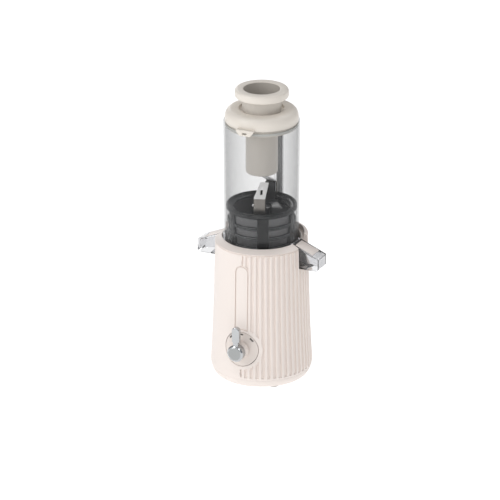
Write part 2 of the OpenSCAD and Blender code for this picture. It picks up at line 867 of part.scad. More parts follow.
module bowl() {
    port_w = spout_w - 2 * spout_t;
    color(clear) difference() {
        union() {
            revolve([[0, bowl_z], [bowl_out_r(bowl_z), bowl_z], [bowl_top_d / 2, bowl_top_z],
                [bowl_in_r(bowl_top_z), bowl_top_z], [bowl_in_r(bowl_floor_z), bowl_floor_z], [0, bowl_floor_z]]);
            rod(tower_r, bowl_z, tower_top_z - bowl_z);
            difference() {
                union() {
                    translate([-guide_half_w, bowl_r - 3, guide_z])
                        cube([2 * guide_half_w, rod_y - bowl_r + 3, bowl_top_z - rod_travel - guide_z]);
                    translate([0, rod_y, 0]) rod(guide_half_w, guide_z, bowl_top_z - rod_travel - guide_z);
                }
                rod(bowl_r - 0.8, guide_z - 1, bowl_top_z - guide_z + 1);
            }
        }
        rod(bush_out_r, bowl_z - 1, 20);
        translate([0, rod_y, 0]) {
            rod(rod_hole_r, guide_z + 3, bowl_top_z - guide_z);
            rod(tip_r + run_gap, guide_z - 1, 10);
        }
        each_side() translate([bowl_r - 8, -port_w / 2, spout_z + spout_t])
            cube([20, port_w, port_top_z - spout_z - spout_t]);
    }
}

// Spout, drawn for +X and mirrored: side walls, end plate, sloping roof and a floor open near its tip.
spout_tip_z = spout_z + spout_tip_h;
spout_root_x = sqrt(pow(bowl_out_r(spout_z), 2) - pow(spout_w / 2, 2));
function roof_z(x) = spout_tip_z + (spout_reach - x) * tan(spout_slope);
port_top_z = roof_z(bowl_r) - spout_t * 2;
outlet_l = 17;
cover_from = spout_root_x + 6;
cover_to = spout_reach - 9.5;
tip_chamfer = 3;

module spout_block(grow, top_drop, low, from, to, chamfer) {
    translate([0, spout_w / 2 + grow, 0]) rotate([90, 0, 0]) linear_extrude(spout_w + 2 * grow)
        polygon([[from, low], [to - chamfer, low], [to, low + chamfer], [to, roof_z(to) - top_drop],
            [from, roof_z(from) - top_drop]]);
}

module spout() {
    far = spout_reach - spout_t;
    difference() {
        spout_block(0, 0, spout_z, spout_root_x - 2, spout_reach, tip_chamfer);
        spout_block(-spout_t, spout_t + spout_cover_t, spout_z + spout_t, 0, far, 0.1);
        translate([far - outlet_l, -spout_w / 2 + spout_t, 0]) cube([outlet_l, spout_w - 2 * spout_t, spout_z + 4]);
        cover_cut(-5, spout_t - seat_gap);
        revolve([[0, bowl_z], [bowl_out_r(bowl_z) + 0.02, bowl_z], [bowl_out_r(rim_z + 40) + 0.02, rim_z + 40],
            [0, rim_z + 40]]);
    }
}

module cover_cut(rise, inset) {
    low = [for (x = [cover_from - seat_gap, cover_to + seat_gap]) [x, roof_z(x) - spout_cover_t - 0.02]];
    high = [for (x = [cover_to + seat_gap, cover_from - seat_gap]) [x, roof_z(x) - rise]];
    translate([0, spout_w / 2 - inset, 0]) rotate([90, 0, 0]) linear_extrude(spout_w - 2 * inset)
        polygon(concat(low, high));
}

module spout_cover() {
    translate([0, spout_w / 2 - spout_t, 0]) rotate([90, 0, 0]) linear_extrude(spout_w - 2 * spout_t)
        polygon([[cover_from, roof_z(cover_from) - spout_cover_t], [cover_to, roof_z(cover_to) - spout_cover_t],
            [cover_to, roof_z(cover_to)], [cover_from, roof_z(cover_from)]]);
}

module right_spout() {
    color(clear) spout();
}

module left_spout() {
    color(clear) mirror([1, 0, 0]) spout();
}

module right_spout_cover() {
    color(cream) spout_cover();
}

module left_spout_cover() {
    color(cream) mirror([1, 0, 0]) spout_cover();
}

module auger_bush() {
    color(grey_plastic) ring(stem_r_out + run_gap, bush_out_r, bowl_floor_z - 0.5, tower_top_z - bowl_floor_z + 0.5);
}

module floor_seal() {
    color(silicone) ring(stem_r_out + run_gap, bush_out_r, bowl_z, bowl_floor_t - 0.5);
}

// Strainer: outer radius along its height, from foot to rim.
strainer_z = bowl_floor_z;
strainer_rim_r = bowl_in_r(strainer_top_z) - strainer_gap;
band_z = strainer_top_z - rim_band_h;
function strainer_r(z) = strainer_foot_r + (strainer_rim_r - 1.2 - strainer_foot_r)
    * pow((z - strainer_z) / (band_z - strainer_z), 0.75);
mesh_top_z = band_z - 13;
rib_first = 27;
rib_lap = 0.6;
window_rows = [[strainer_z + 8, strainer_z + 35], [strainer_z + 43, band_z - 17]];
step_rows = [[strainer_z + 35, strainer_z + 43], [band_z - 17, band_z - 11]];

module strainer_frame() {
    heights = steps(strainer_z, band_z, 6);
    wall = concat([for (z = heights) [strainer_r(z), z]],
        [[strainer_rim_r, band_z + 1], [strainer_rim_r, strainer_top_z - 0.8],
        [strainer_rim_r - 0.8, strainer_top_z], [strainer_rim_r - 3, strainer_top_z]],
        [for (z = backwards(heights)) if (z > strainer_z) [strainer_r(z) - strainer_t, z]],
        [[strainer_r(strainer_z + 2.4) - strainer_t, strainer_z + 2.4], [tower_r + 0.2, strainer_z + 2.4],
        [tower_r + 0.2, strainer_z]]);
    rib_wall = concat([for (z = heights) [strainer_r(z) - 1, z]],
        [for (z = backwards(heights)) [strainer_r(z) + 1, z]]);
    color(charcoal) {
        difference() {
            revolve(wall);
            for (k = [0:5], row = window_rows) sector([[20, row[0]], [60, row[0]], [60, row[1]], [20, row[1]]],
                rib_first - 90 + 60 * k + wide_rib_angle / 2 - rib_lap, 60 - wide_rib_angle + 2 * rib_lap);
        }
        for (k = [0:5]) {
            w = k == 0 ? wide_rib_angle : rib_angle;
            sector(rib_wall, rib_first - 90 + 60 * k - w / 2, w);
        }
        for (row = step_rows) revolve([[strainer_r(row[0]) - 1, row[0]], [strainer_r(row[0]) + 0.5, row[0]],
            [strainer_r(row[1]) + 0.5, row[1]], [strainer_r(row[1]) - 1, row[1]]]);
    }
}

module strainer_mesh() {
    gap = strainer_t + 0.1;
    heights = steps(strainer_z + 2.4, mesh_top_z, 5);
    color(dark_steel) revolve(concat([for (z = heights) [strainer_r(z) - gap, z]],
        [for (z = backwards(heights)) [strainer_r(z) - gap - mesh_t, z]]));
}

// Auger: a tapering core with two helical flights, each ending in a post for a cutter.
auger_z = tower_top_z + move_gap;
auger_top_z = strainer_top_z - 4;
post_z = strainer_top_z - 3;
post_r = strainer_rim_r - 10.5;
post_t = 5;
cutter_angles = [20.2, 184.3];
cutter_knee_z = strainer_top_z + cutter_rise;
function core_r_at(z) = auger_foot_r + (auger_top_r - auger_foot_r)
    * sin(90 * (z - auger_z) / (auger_top_z - auger_z));
function flight_r(z) = strainer_r(min(z, band_z)) - strainer_t - 0.1 - mesh_t - 0.5;

// Cross-section k of a flight: root low, edge low, edge high, root high.
function flight_ring(k, n, span, start) = let(
    low = auger_z + 1,
    high = post_z - 1,
    z = low + (high - low) * k / n,
    a = start - span * (1 - k / n),
    root = core_r_at(z) - 3,
    edge = flight_r(z),
    t = flight_t / 2)
    [for (p = [[root, -t - 1], [edge, -t], [edge, t], [root, t + 1]])
        [p[0] * cos(a), p[0] * sin(a), z + p[1] * (k == 0 ? 0.4 : 1)]];

module flight(start) {
    n = 60;
    span = 360 * (post_z - auger_z - 2) / flight_pitch;
    points = [for (k = [0:n]) each flight_ring(k, n, span, start)];
    sides = [for (k = [0:n - 1], i = [0:3]) each [
        [4 * k + i, 4 * k + (i + 1) % 4, 4 * k + 4 + i],
        [4 * k + (i + 1) % 4, 4 * k + 4 + (i + 1) % 4, 4 * k + 4 + i]]];
    polyhedron(points, concat(sides, [[3, 2, 1, 0], [4 * n, 4 * n + 1, 4 * n + 2, 4 * n + 3]]));
}

module at_cutters() {
    for (a = cutter_angles) rotate([0, 0, a - 90]) children();
}

module auger() {
    heights = steps(auger_z, auger_top_z, 6);
    color(charcoal) difference() {
        union() {
            revolve(concat([[0, auger_z]], [for (z = heights) [core_r_at(z), z]], [[0, auger_top_z + 3]]));
            rod(stem_r_out, bowl_z + 1, auger_z - bowl_z);
            for (a = cutter_angles) flight(a - 90 + 9);
            at_cutters() translate([post_r - post_t, -cutter_w / 2 + 0.5, post_z - 4])
                cube([post_t, cutter_w - 1, cutter_knee_z - 1.5 - post_z + 4]);
        }
        translate([0, 0, bowl_z]) cylinder(r = (hex_af + 0.5) / sqrt(3), h = hex_reach + 1, $fn = 6);
    }
}

module cutters() {
    tip_r_in = 14;
    tip_rise = 15;
    tip_half_w = cutter_w * 0.37;
    slot_share = 0.4;
    profile = [[post_r, post_z + 1], [post_r + cutter_t, post_z + 1], [post_r + cutter_t, cutter_knee_z],
        [tip_r_in, cutter_knee_z + tip_rise], [tip_r_in, cutter_knee_z + tip_rise - cutter_t],
        [post_r, cutter_knee_z - cutter_t * 0.7]];
    color(steel) at_cutters() difference() {
        intersection() {
            rotate([90, 0, 0]) linear_extrude(2 * cutter_w, center = true) polygon(profile);
            translate([0, 0, post_z]) linear_extrude(60) polygon([[tip_r_in, cutter_lean - tip_half_w],
                [post_r - 1, -cutter_w / 2], [post_r + 5, -cutter_w / 2], [post_r + 5, cutter_w / 2],
                [post_r - 1, cutter_w / 2], [tip_r_in, cutter_lean + tip_half_w]]);
        }
        translate([post_r - 14, cutter_lean * slot_share - 1.5, cutter_knee_z]) cube([9, 3, 30]);
    }
}

// Lid, which stands on the bowl's rim and turns on it.
lid_r = bowl_top_d / 2 - lid_step;
lid_top_z = bowl_top_z + lid_h;
recess_depth = 2.5;
recess_r = neck_r + 5.5;
recess_z = lid_top_z - recess_depth;
feed_r = pusher_r + move_gap;
skirt_r = bowl_in_r(bowl_top_z) - 2;
rear_lug_w = 16;

module lid() {
    edge_z = bowl_top_z + 5.6;
    arc = steps(0, 90, 6);
    tab = [[-12.5, edge_z + 1], [-12, bowl_top_z - 1.5], [-10.6, bowl_top_z - 4.1], [-8, bowl_top_z - 5.5],
        [8, bowl_top_z - 5.5], [10.6, bowl_top_z - 4.1], [12, bowl_top_z - 1.5], [12.5, edge_z + 1]];
    color(lid_cream) difference() {
        union() {
            revolve(concat([[lid_r, bowl_top_z]],
                [for (a = arc) [lid_r - 8.4 + 8.4 * cos(a), edge_z + (lid_top_z - edge_z) * sin(a)]],
                [[recess_r, lid_top_z], [recess_r, recess_z], [feed_r, recess_z], [feed_r, bowl_top_z - skirt_h],
                [feed_r + 2.4, bowl_top_z - skirt_h], [feed_r + 2.4, recess_z - 3], [recess_r + 2, recess_z - 2],
                [skirt_r - 2.2, edge_z - 1], [skirt_r - 2.2, bowl_top_z - skirt_h], [skirt_r, bowl_top_z - skirt_h],
                [skirt_r, bowl_top_z]]));
            translate([0, -bowl_top_d / 2 - move_gap, 0]) rotate([90, 0, 0]) linear_extrude(3.2) polygon(tab);
            translate([-12, -bowl_top_d / 2 - 1, bowl_top_z + move_gap])
                cube([24, 6, edge_z + 1 - bowl_top_z - move_gap]);
            translate([-rear_lug_w / 2, lid_r - 3, bowl_top_z + 1])
                cube([rear_lug_w, rod_y + rod_r - lid_r + 3, 6]);
        }
        translate([-3.2, -bowl_top_d / 2 - 10, bowl_top_z - 3.4]) cube([6.4, 12, 2.2]);
    }
}

module lid_seal() {
    color(silicone) ring(skirt_r, bowl_in_r(bowl_top_z - 6) - 0.2, bowl_top_z - 6, 3);
}

rod_top_z = bowl_top_z + 1 - move_gap;
spring_z = guide_z + 3;
spring_h = 16;
coil_r = (tip_r + rod_r) / 2;
wire_r = 0.45;

module interlock_rod() {
    color(grey_plastic) translate([0, rod_y, 0]) {
        rod(tip_r, rod_foot_z, spring_z + spring_h + 1 - rod_foot_z);
        rod(rod_r, spring_z + spring_h, rod_top_z - 1.4 - spring_z - spring_h);
        translate([0, 0, rod_top_z - 1.4]) cylinder(r1 = rod_r, r2 = 1, h = 1.4);
    }
}

module rod_spring() {
    turns = 8;
    per_turn = 10;
    n = turns * per_turn;
    sides = 6;
    low = spring_z + wire_r + 0.05;
    high = spring_z + spring_h - wire_r - 0.05;
    points = [for (k = [0:n], i = [0:sides - 1]) let(
        a = 360 * k / per_turn, b = 360 * i / sides,
        r = coil_r + wire_r * cos(b))
        [r * cos(a), r * sin(a), low + (high - low) * k / n + wire_r * sin(b)]];
    walls = [for (k = [0:n - 1], i = [0:sides - 1]) each [
        [sides * k + i, sides * k + (i + 1) % sides, sides * (k + 1) + i],
        [sides * k + (i + 1) % sides, sides * (k + 1) + (i + 1) % sides, sides * (k + 1) + i]]];
    color(steel) translate([0, rod_y, 0])
        polyhedron(points, concat(walls, [[for (i = [sides - 1:-1:0]) i], [for (i = [0:sides - 1]) sides * n + i]]));
}

module pusher() {
    flange_z = recess_z + neck_h;
    top_z = flange_z + flange_h;
    foot_z = recess_z - pusher_drop;
    t = 2.2;
    round_r = 3;
    arc = steps(0, 90, 5);
    edge = 1.6;
    color(lid_cream) revolve(concat(
        [[0, foot_z]],
        [for (a = arc) [pusher_r - round_r + round_r * sin(a), foot_z + round_r - round_r * cos(a)]],
        [[pusher_r, recess_z], [neck_r, recess_z], [neck_r, flange_z], [flange_r - edge, flange_z]],
        [for (a = arc) [flange_r - edge + edge * sin(a), flange_z + edge - edge * cos(a)]],
        [for (a = arc) [flange_r - edge + edge * cos(a), top_z - edge + edge * sin(a)]],
        [[pusher_mouth_r + 1, top_z], [pusher_mouth_r, top_z - 1], [pusher_mouth_r - 1, recess_z + 4],
        [pusher_r - t, recess_z - 2], [pusher_r - t - 1, foot_z + t], [0, foot_z + t]]));
}

body_shell();
bottom_cover();
rubber_feet();
cover_screws();
front_strip();
dial_plate();
knob_collar();
knob();
rotary_switch();
bowl_seat();
shaft_seal();
gearbox_case();
gearbox_cover();
lower_bearing();
upper_bearing();
gear_pins();
drive_shaft();
output_gear();
second_gear();
first_gear();
motor_pinion();
motor_can();
motor_end_cap();
motor_magnets();
motor_bushes();
motor_shaft();
rotor_core();
cooling_fan();
control_board();
power_inlet();
interlock_switch();
switch_plunger();
bowl();
right_spout();
left_spout();
right_spout_cover();
left_spout_cover();
auger_bush();
floor_seal();
strainer_frame();
strainer_mesh();
auger();
cutters();
interlock_rod();
rod_spring();
lid();
lid_seal();
pusher();
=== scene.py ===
"""Slow juicer on a pale floor: fluted base, clear bowl with strainer and auger, lid and pusher."""
import math

import bpy
from mathutils import Euler, Matrix, Vector


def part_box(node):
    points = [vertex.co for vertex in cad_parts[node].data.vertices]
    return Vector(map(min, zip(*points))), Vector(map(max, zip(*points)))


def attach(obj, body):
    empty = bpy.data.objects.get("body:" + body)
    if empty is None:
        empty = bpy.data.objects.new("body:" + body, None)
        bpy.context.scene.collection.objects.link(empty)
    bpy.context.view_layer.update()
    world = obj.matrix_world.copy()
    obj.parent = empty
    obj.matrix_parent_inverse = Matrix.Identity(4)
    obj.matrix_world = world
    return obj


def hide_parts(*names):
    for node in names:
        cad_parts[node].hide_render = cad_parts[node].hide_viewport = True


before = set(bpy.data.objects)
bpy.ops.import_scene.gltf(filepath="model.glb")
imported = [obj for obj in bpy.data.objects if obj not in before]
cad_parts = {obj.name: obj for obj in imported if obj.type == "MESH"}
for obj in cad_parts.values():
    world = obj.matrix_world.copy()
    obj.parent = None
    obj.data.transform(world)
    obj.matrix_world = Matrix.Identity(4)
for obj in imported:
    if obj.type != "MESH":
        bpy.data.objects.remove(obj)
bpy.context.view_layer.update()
bpy.ops.object.select_all(action="DESELECT")

# Viewpoint. The camera stands to the right of the dial and above the lid, about six metres away, so upright
# edges barely converge.
view_turn = math.radians(25.0)
view_tilt = math.radians(21.9)
view_distance = 6.1
view_aim = Vector((0.0, 0.0, 0.2))
view_offset = (-0.0154, -0.0227)
sensor_width = 36.0
focal_length = 332.7
bpy.ops.object.camera_add(rotation=(math.pi / 2 - view_tilt, 0.0, view_turn))
camera = bpy.context.object
facing = Euler(camera.rotation_euler).to_matrix()
camera.location = (view_aim + facing.col[2] * view_distance
                   + facing.col[0] * view_offset[0] + facing.col[1] * view_offset[1])
camera.data.sensor_width = sensor_width
camera.data.lens = focal_length
bpy.context.scene.camera = camera

# Floor and light. A white sweep that glows a little, as on a light table, one broad soft light from the left
# of the camera, five weaker ones from the right, the back and above, and an even white surround.
surround = bpy.data.worlds.new("surround")
bpy.context.scene.world = surround
surround.use_nodes = True
surround.node_tree.nodes["Background"].inputs["Color"].default_value = (0.97, 0.98, 1.0, 1.0)
surround.node_tree.nodes["Background"].inputs["Strength"].default_value = 0.34
bpy.context.scene.view_settings.view_transform = "Standard"


def softbox(turn, tilt, distance, width, height, power):
    """An oblong area light that faces the juicer, placed by its bearing from the front and its height."""
    bearing = math.radians(turn)
    rise = math.radians(tilt)
    level = math.cos(rise)
    outward = Vector((math.sin(bearing) * level, -math.cos(bearing) * level, math.sin(rise)))
    bpy.ops.object.light_add(type="AREA", rotation=(math.pi / 2 - rise, 0.0, bearing))
    lamp = bpy.context.object
    lamp.location = view_aim + outward * distance
    lamp.data.shape = "RECTANGLE"
    lamp.data.size = width
    lamp.data.size_y = height
    lamp.data.energy = power


softbox(-35.0, 30.0, 2.6, 1.0, 1.8, 24.0)
softbox(28.0, 26.0, 2.8, 0.6, 1.4, 9.0)
softbox(88.0, 24.0, 2.8, 0.6, 1.6, 5.0)
softbox(-140.0, 18.0, 2.6, 0.6, 1.4, 7.0)
softbox(165.0, 50.0, 2.4, 1.0, 0.5, 8.0)
softbox(-5.0, 66.0, 2.4, 0.8, 0.8, 6.0)

bpy.ops.mesh.primitive_plane_add(size=30.0)
floor = bpy.context.object
floor.name = "floor"


class Socket:
    """A value that varies over a surface. Sums, products and tests of it become Math nodes of its finish."""

    def __init__(self, finish, link):
        self.finish = finish
        self.link = link

    def math(self, operation, first, second=0.0):
        return self.finish.node("ShaderNodeMath", {"operation": operation}, {0: first, 1: second})

    def __add__(self, other):
        return self.math("ADD", self, other)

    __radd__ = __add__

    def __mul__(self, other):
        return self.math("MULTIPLY", self, other)

    __rmul__ = __mul__

    def __gt__(self, other):
        return self.math("GREATER_THAN", self, other)


class Finish:
    """A material in the making, on Object coordinates, with one method that adds any node."""

    def __init__(self, name, **constants):
        self.material = bpy.data.materials.new(name)
        self.material.use_nodes = True
        self.nodes = self.material.node_tree.nodes
        self.links = self.material.node_tree.links
        self.shader = self.nodes["Principled BSDF"]
        for socket, value in constants.items():
            self.shader.inputs[socket.replace("_", " ")].default_value = value
        self.place = self.node("ShaderNodeTexCoord", {}, {}, "Object")

    def node(self, kind, settings, sockets, output=0):
        made = self.nodes.new(kind)
        for name, value in settings.items():
            setattr(made, name, value)
        for name, value in sockets.items():
            if isinstance(value, Socket):
                self.links.new(value.link, made.inputs[name])
            else:
                made.inputs[name].default_value = value
        return Socket(self, made.outputs[output])

    def noise(self, scale, detail=2.0, place=None):
        sockets = {"Vector": place or self.place, "Scale": scale, "Detail": detail}
        return self.node("ShaderNodeTexNoise", {}, sockets)

    def stretched(self, factors):
        return self.node("ShaderNodeMapping", {}, {"Vector": self.place, "Scale": factors})

    def mixed(self, share, low, high):
        return self.node("ShaderNodeMix", {"data_type": "RGBA"}, {0: share, 6: low, 7: high}, 2)

    def bump(self, height, depth):
        return self.node("ShaderNodeBump", {}, {"Height": height, "Strength": 1.0, "Distance": depth})

    def wear(self, **varying):
        for socket, value in varying.items():
            self.links.new(value.link, self.shader.inputs[socket.replace("_", " ")])
        return self.material


def tone(red, green, blue):
    """A colour as seen, from 0 to 255, in the shader's linear light."""
    seen = (red, green, blue)
    return tuple(((c / 255 + 0.055) / 1.055) ** 2.4 if c > 10 else c / 3295 for c in seen) + (1.0,)


def plastic(name, colour, shade, gloss, grain, depth, **constants):
    """Moulded plastic: two near tones in slow clouds, a fine spark grain, and a gloss that varies."""
    finish = Finish(name, IOR=1.5, **constants)
    clouds = finish.noise(18.0)
    sparks = finish.noise(grain, 3.0)
    return finish.wear(Base_Color=finish.mixed(clouds, colour, shade),
                       Roughness=clouds * 0.06 + sparks * 0.05 + gloss, Normal=finish.bump(sparks, depth))


white_floor = plastic("white_floor", (0.3, 0.3, 0.3, 1), (0.29, 0.29, 0.29, 1), 0.8, 300.0, 0.00001,
                      Emission_Color=(1.0, 1.0, 1.0, 1.0), Emission_Strength=0.92)
floor.data.materials.append(white_floor)


# Bottom cover and feet. The cover is a cream moulding that closes the base from below, held by four screws in
# deep recesses. Five soft rubber feet are pressed into shallow seats, the fifth in the middle.
MM = 0.001
cream = plastic("cream_plastic", tone(238, 228, 222), tone(236, 226, 219), 0.36, 2600.0, 0.00002)
rubber = plastic("rubber", tone(48, 48, 48), tone(40, 40, 40), 0.7, 1500.0, 0.00005)
pale_rubber = plastic("pale_rubber", tone(190, 186, 182), tone(182, 178, 174), 0.7, 1500.0, 0.00005)


def metal(name, colour, shade, gloss, lines, metallic=1.0):
    """Bare or plated metal, with fine lines that run along the stretched direction."""
    finish = Finish(name, Metallic=metallic)
    marks = finish.noise(1.0, 4.0, finish.stretched(lines))
    clouds = finish.noise(40.0)
    return finish.wear(Base_Color=finish.mixed(clouds, colour, shade), Roughness=marks * 0.12 + gloss,
                       Normal=finish.bump(marks, 0.00002))


def paint(material, *nodes):
    """Gives CAD nodes a finish."""
    for name in nodes:
        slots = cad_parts[name].data.materials
        slots.clear()
        slots.append(material)


def only(piece):
    """Makes a piece the one that operators work on."""
    bpy.ops.object.select_all(action="DESELECT")
    piece.select_set(True)
    bpy.context.view_layer.objects.active = piece


def fit(piece, material, body, slot, *nodes):
    """Finishes a new piece and puts it on its body, in the place of the CAD nodes that are named."""
    piece.data.materials.clear()
    piece.data.materials.append(material)
    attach(piece, body)
    if nodes:
        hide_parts(*nodes)


def smoothed(piece, angle=35.0):
    """Shades a piece smooth, apart from edges sharper than an angle."""
    only(piece)
    bpy.ops.object.shade_smooth_by_angle(angle=math.radians(angle))
    return piece


def eased(piece, width, segments=2):
    """Rounds a piece's sharp edges and smooths the rest."""
    only(piece)
    bevel = piece.modifiers.new("eased", "BEVEL")
    bevel.width = width * MM
    bevel.segments = segments
    bevel.limit_method = "ANGLE"
    bevel.angle_limit = math.radians(40.0)
    bpy.ops.object.modifier_apply(modifier="eased")
    return smoothed(piece)


def copied(node):
    """A merged copy of a CAD node's shape, ready for more work."""
    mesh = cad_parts[node].data.copy()
    piece = bpy.data.objects.new(node + "_finished", mesh)
    bpy.context.scene.collection.objects.link(piece)
    only(piece)
    if mesh.has_custom_normals:
        bpy.ops.mesh.customdata_custom_splitnormals_clear()
    bpy.ops.object.mode_set(mode="EDIT")
    bpy.ops.mesh.select_all(action="SELECT")
    bpy.ops.mesh.remove_doubles(threshold=0.000002)
    bpy.ops.mesh.dissolve_limited(angle_limit=math.radians(0.4))
    bpy.ops.object.mode_set(mode="OBJECT")
    return piece


def block(name, low, high):
    """An upright block between two corners in millimetres."""
    centre = [(a + b) / 2 * MM for a, b in zip(low, high)]
    size = [(b - a) * MM for a, b in zip(low, high)]
    bpy.ops.object.select_all(action="DESELECT")
    bpy.ops.mesh.primitive_cube_add(size=1.0, location=centre, scale=size)
    piece = bpy.context.object
    piece.name = name
    bpy.ops.object.transform_apply(location=True, rotation=True, scale=True)
    return piece


def cut(piece, cutter, operation="DIFFERENCE"):
    """Takes one shape out of another, or keeps what the two share, or joins them."""
    only(piece)
    change = piece.modifiers.new("cut", "BOOLEAN")
    change.operation = operation
    change.solver = "EXACT"
    change.object = cutter
    bpy.ops.object.modifier_apply(modifier="cut")
    bpy.data.objects.remove(cutter)
    return piece


fit(eased(copied("bottom_cover"), 0.6), cream, "base", "cream_body", "bottom_cover")
paint(pale_rubber, "rubber_feet")
steel = metal("turned_steel", (0.62, 0.62, 0.63, 1), (0.56, 0.56, 0.57, 1), 0.25, (400.0, 400.0, 6000.0))
screw_place = 51.0
screw_low = 6.8
slot_length = 2.0
slot_width = 0.45
screws = copied("cover_screws")
for turn in (30, 150, 210, 330):
    across = screw_place * math.cos(math.radians(turn))
    along = screw_place * math.sin(math.radians(turn))
    for half in ((slot_length, slot_width), (slot_width, slot_length)):
        cut(screws, block("driver_slot", (across - half[0], along - half[1], screw_low - 1.0),
                          (across + half[0], along + half[1], screw_low + 1.2)))
fit(eased(screws, 0.25), steel, "base", "machined_steel", "cover_screws")

# Motor. A plated steel can with two ferrite magnets and a laminated rotor, hung under the gearbox by its boss
# and closed by a black end cap, with a cooling fan on the shaft below.
charcoal = plastic("charcoal_plastic", tone(74, 76, 77), tone(64, 66, 67), 0.3, 2200.0, 0.00003)
grey = plastic("grey_plastic", tone(120, 122, 123), tone(110, 112, 114), 0.4, 2200.0, 0.00003)
ferrite = plastic("ferrite", tone(62, 62, 64), tone(52, 52, 54), 0.6, 1200.0, 0.00006)
brass = metal("brass", (0.83, 0.63, 0.32, 1), (0.76, 0.56, 0.28, 1), 0.25, (400.0, 400.0, 5000.0))
paint(steel, "motor_can", "motor_shaft", "rotor_core")
paint(charcoal, "motor_end_cap")
paint(ferrite, "motor_magnets")
paint(brass, "motor_bushes", "motor_pinion")
paint(grey, "cooling_fan")

# Control board, on four posts of the bottom cover: a green circuit board with a capacitor and a relay.
board = plastic("circuit_board", tone(30, 96, 58), tone(26, 86, 52), 0.4, 900.0, 0.00002)
paint(board, "control_board")

# Gear train. Nylon wheels on steel pins turn between a grey case and its cover, and the steel output wheel is
# pressed on the drive shaft, which runs in a plain bearing below and above.
nylon = plastic("nylon", tone(228, 225, 210), tone(220, 217, 202), 0.35, 1800.0, 0.00002)
paint(grey, "gearbox_case", "gearbox_cover")
paint(steel, "lower_bearing", "upper_bearing", "gear_pins", "drive_shaft", "output_gear")
paint(nylon, "first_gear", "second_gear")

# Bowl seat. A cream cup under the mouth of the base, with a channel for each spout and a rubber seal on the
# shaft.
paint(cream, "bowl_seat")
paint(rubber, "shaft_seal")

# Base shell. One deep cream moulding: a flared taper with flutes round its right half that stop short of the
# dial and the bare strip, a sloping shoulder with a rounded mouth, and a raised wall behind the bowl.
base_radius = 67.5
underside_radius = 56.0
crease_radius = 61.45
mouth_radius = 51.55
foot_height = 3.0
join_height = 15.0
widest_height = 24.0
crease_height = 192.3
rim_height = 198.0
wall_radius = 56.25
wall_rise = 8.5
wall_front = 14.6
shell_thickness = 3.2
lip_depth = 3.0
dial_height = 58.5
plate_radius = 23.4
ring_radius = 28.8
strip_width = 16.0
strip_groove = 1.6
strip_top = 173.5
strip_depth = 1.4
flute_pitch = 360.0 / 54
flute_count = 27
flute_half_width = 1.95
flute_side = 0.9
flute_end = 1.2
flute_depth = 2.0
flute_low = 18.0
flute_high = crease_height - 2.4
wall_flutes_from = 106.5
seam_depth = 1.3
seam_drop = 1.5
seam_side = 0.5
spin_steps = 540


def body_radius(height):
    """Outside radius of the base: rounded below its widest point, a flared taper above."""
    if height < widest_height:
        drop = (widest_height - height) / (widest_height - foot_height)
        return underside_radius + (base_radius - underside_radius) * math.sqrt(1 - drop ** 2)
    rise = (crease_height - height) / (crease_height - widest_height)
    return crease_radius + (base_radius - crease_radius) * (0.7 * rise + 0.3 * rise ** 4)


def shoulder_height(radius):
    """Height of the sloping shoulder at a radius."""
    drop = (radius - mouth_radius) * (rim_height - crease_height) / (crease_radius - mouth_radius)
    return rim_height - drop


def rounded(corners, segments=5):
    """An outline whose corners, given as across, up and fillet radius, are arcs."""
    outline = []
    for index, (across, up, fillet) in enumerate(corners):
        corner = Vector((across, up))
        if fillet == 0:
            outline.append((across, up))
            continue
        before = (Vector(corners[index - 1][:2]) - corner).normalized()
        after = (Vector(corners[(index + 1) % len(corners)][:2]) - corner).normalized()
        half = before.angle(after) / 2
        centre = corner + (before + after).normalized() * fillet / math.sin(half)
        start = corner + before * fillet / math.tan(half) - centre
        end = corner + after * fillet / math.tan(half) - centre
        for step in range(segments + 1):
            spoke = start.lerp(end, step / segments).normalized() * fillet
            outline.append((centre.x + spoke.x, centre.y + spoke.y))
    return outline


def outlined(name, outline, filled):
    """A closed loop of points through an outline of across and up, in millimetres, on the middle plane."""
    bpy.ops.object.select_all(action="DESELECT")
    bpy.ops.mesh.primitive_circle_add(vertices=len(outline), fill_type="NGON" if filled else "NOTHING")
    piece = bpy.context.object
    piece.name = name
    for point, (across, up) in zip(piece.data.vertices, outline):
        point.co = (across * MM, 0.0, up * MM)
    return piece


def turned(name, outline, steps=192):
    """A solid of revolution from a closed outline of radius and height."""
    piece = outlined(name, outline, False)
    bpy.ops.object.mode_set(mode="EDIT")
    bpy.ops.mesh.select_all(action="SELECT")
    bpy.ops.mesh.spin(steps=steps, angle=math.tau, center=(0, 0, 0), axis=(0, 0, 1))
    bpy.ops.mesh.select_all(action="SELECT")
    bpy.ops.mesh.remove_doubles(threshold=0.000005)
    bpy.ops.mesh.delete_loose()
    bpy.ops.mesh.select_all(action="SELECT")
    bpy.ops.mesh.normals_make_consistent(inside=False)
    bpy.ops.object.mode_set(mode="OBJECT")
    return smoothed(piece)


def slab(name, outline, near, far):
    """A flat shape of across and up, drawn through from one depth to another."""
    piece = outlined(name, outline, True)
    bpy.ops.object.mode_set(mode="EDIT")
    bpy.ops.mesh.select_all(action="SELECT")
    bpy.ops.transform.translate(value=(0.0, near * MM, 0.0))
    bpy.ops.mesh.extrude_region_move(TRANSFORM_OT_translate={"value": (0.0, (far - near) * MM, 0.0)})
    bpy.ops.mesh.select_all(action="SELECT")
    bpy.ops.mesh.normals_make_consistent(inside=False)
    bpy.ops.object.mode_set(mode="OBJECT")
    return piece


def spaced(low, high, step):
    """Heights from low up to, and without, high."""
    count = max(1, round((high - low) / step))
    return [low + (high - low) * index / count for index in range(count)]


def eases(value):
    """A smooth step from 0 to 1."""
    share = min(1.0, max(0.0, value))
    return share * share * (3 - 2 * share)


def pill(width, low):
    """The strip's outline: a rounded top and straight sides down to a height."""
    radius = width / 2
    middle = strip_top - strip_width / 2
    arc = [(radius * math.cos(math.radians(turn)), middle + radius * math.sin(math.radians(turn)))
           for turn in range(0, 181, 9)]
    return [(radius, low)] + arc + [(-radius, low)]


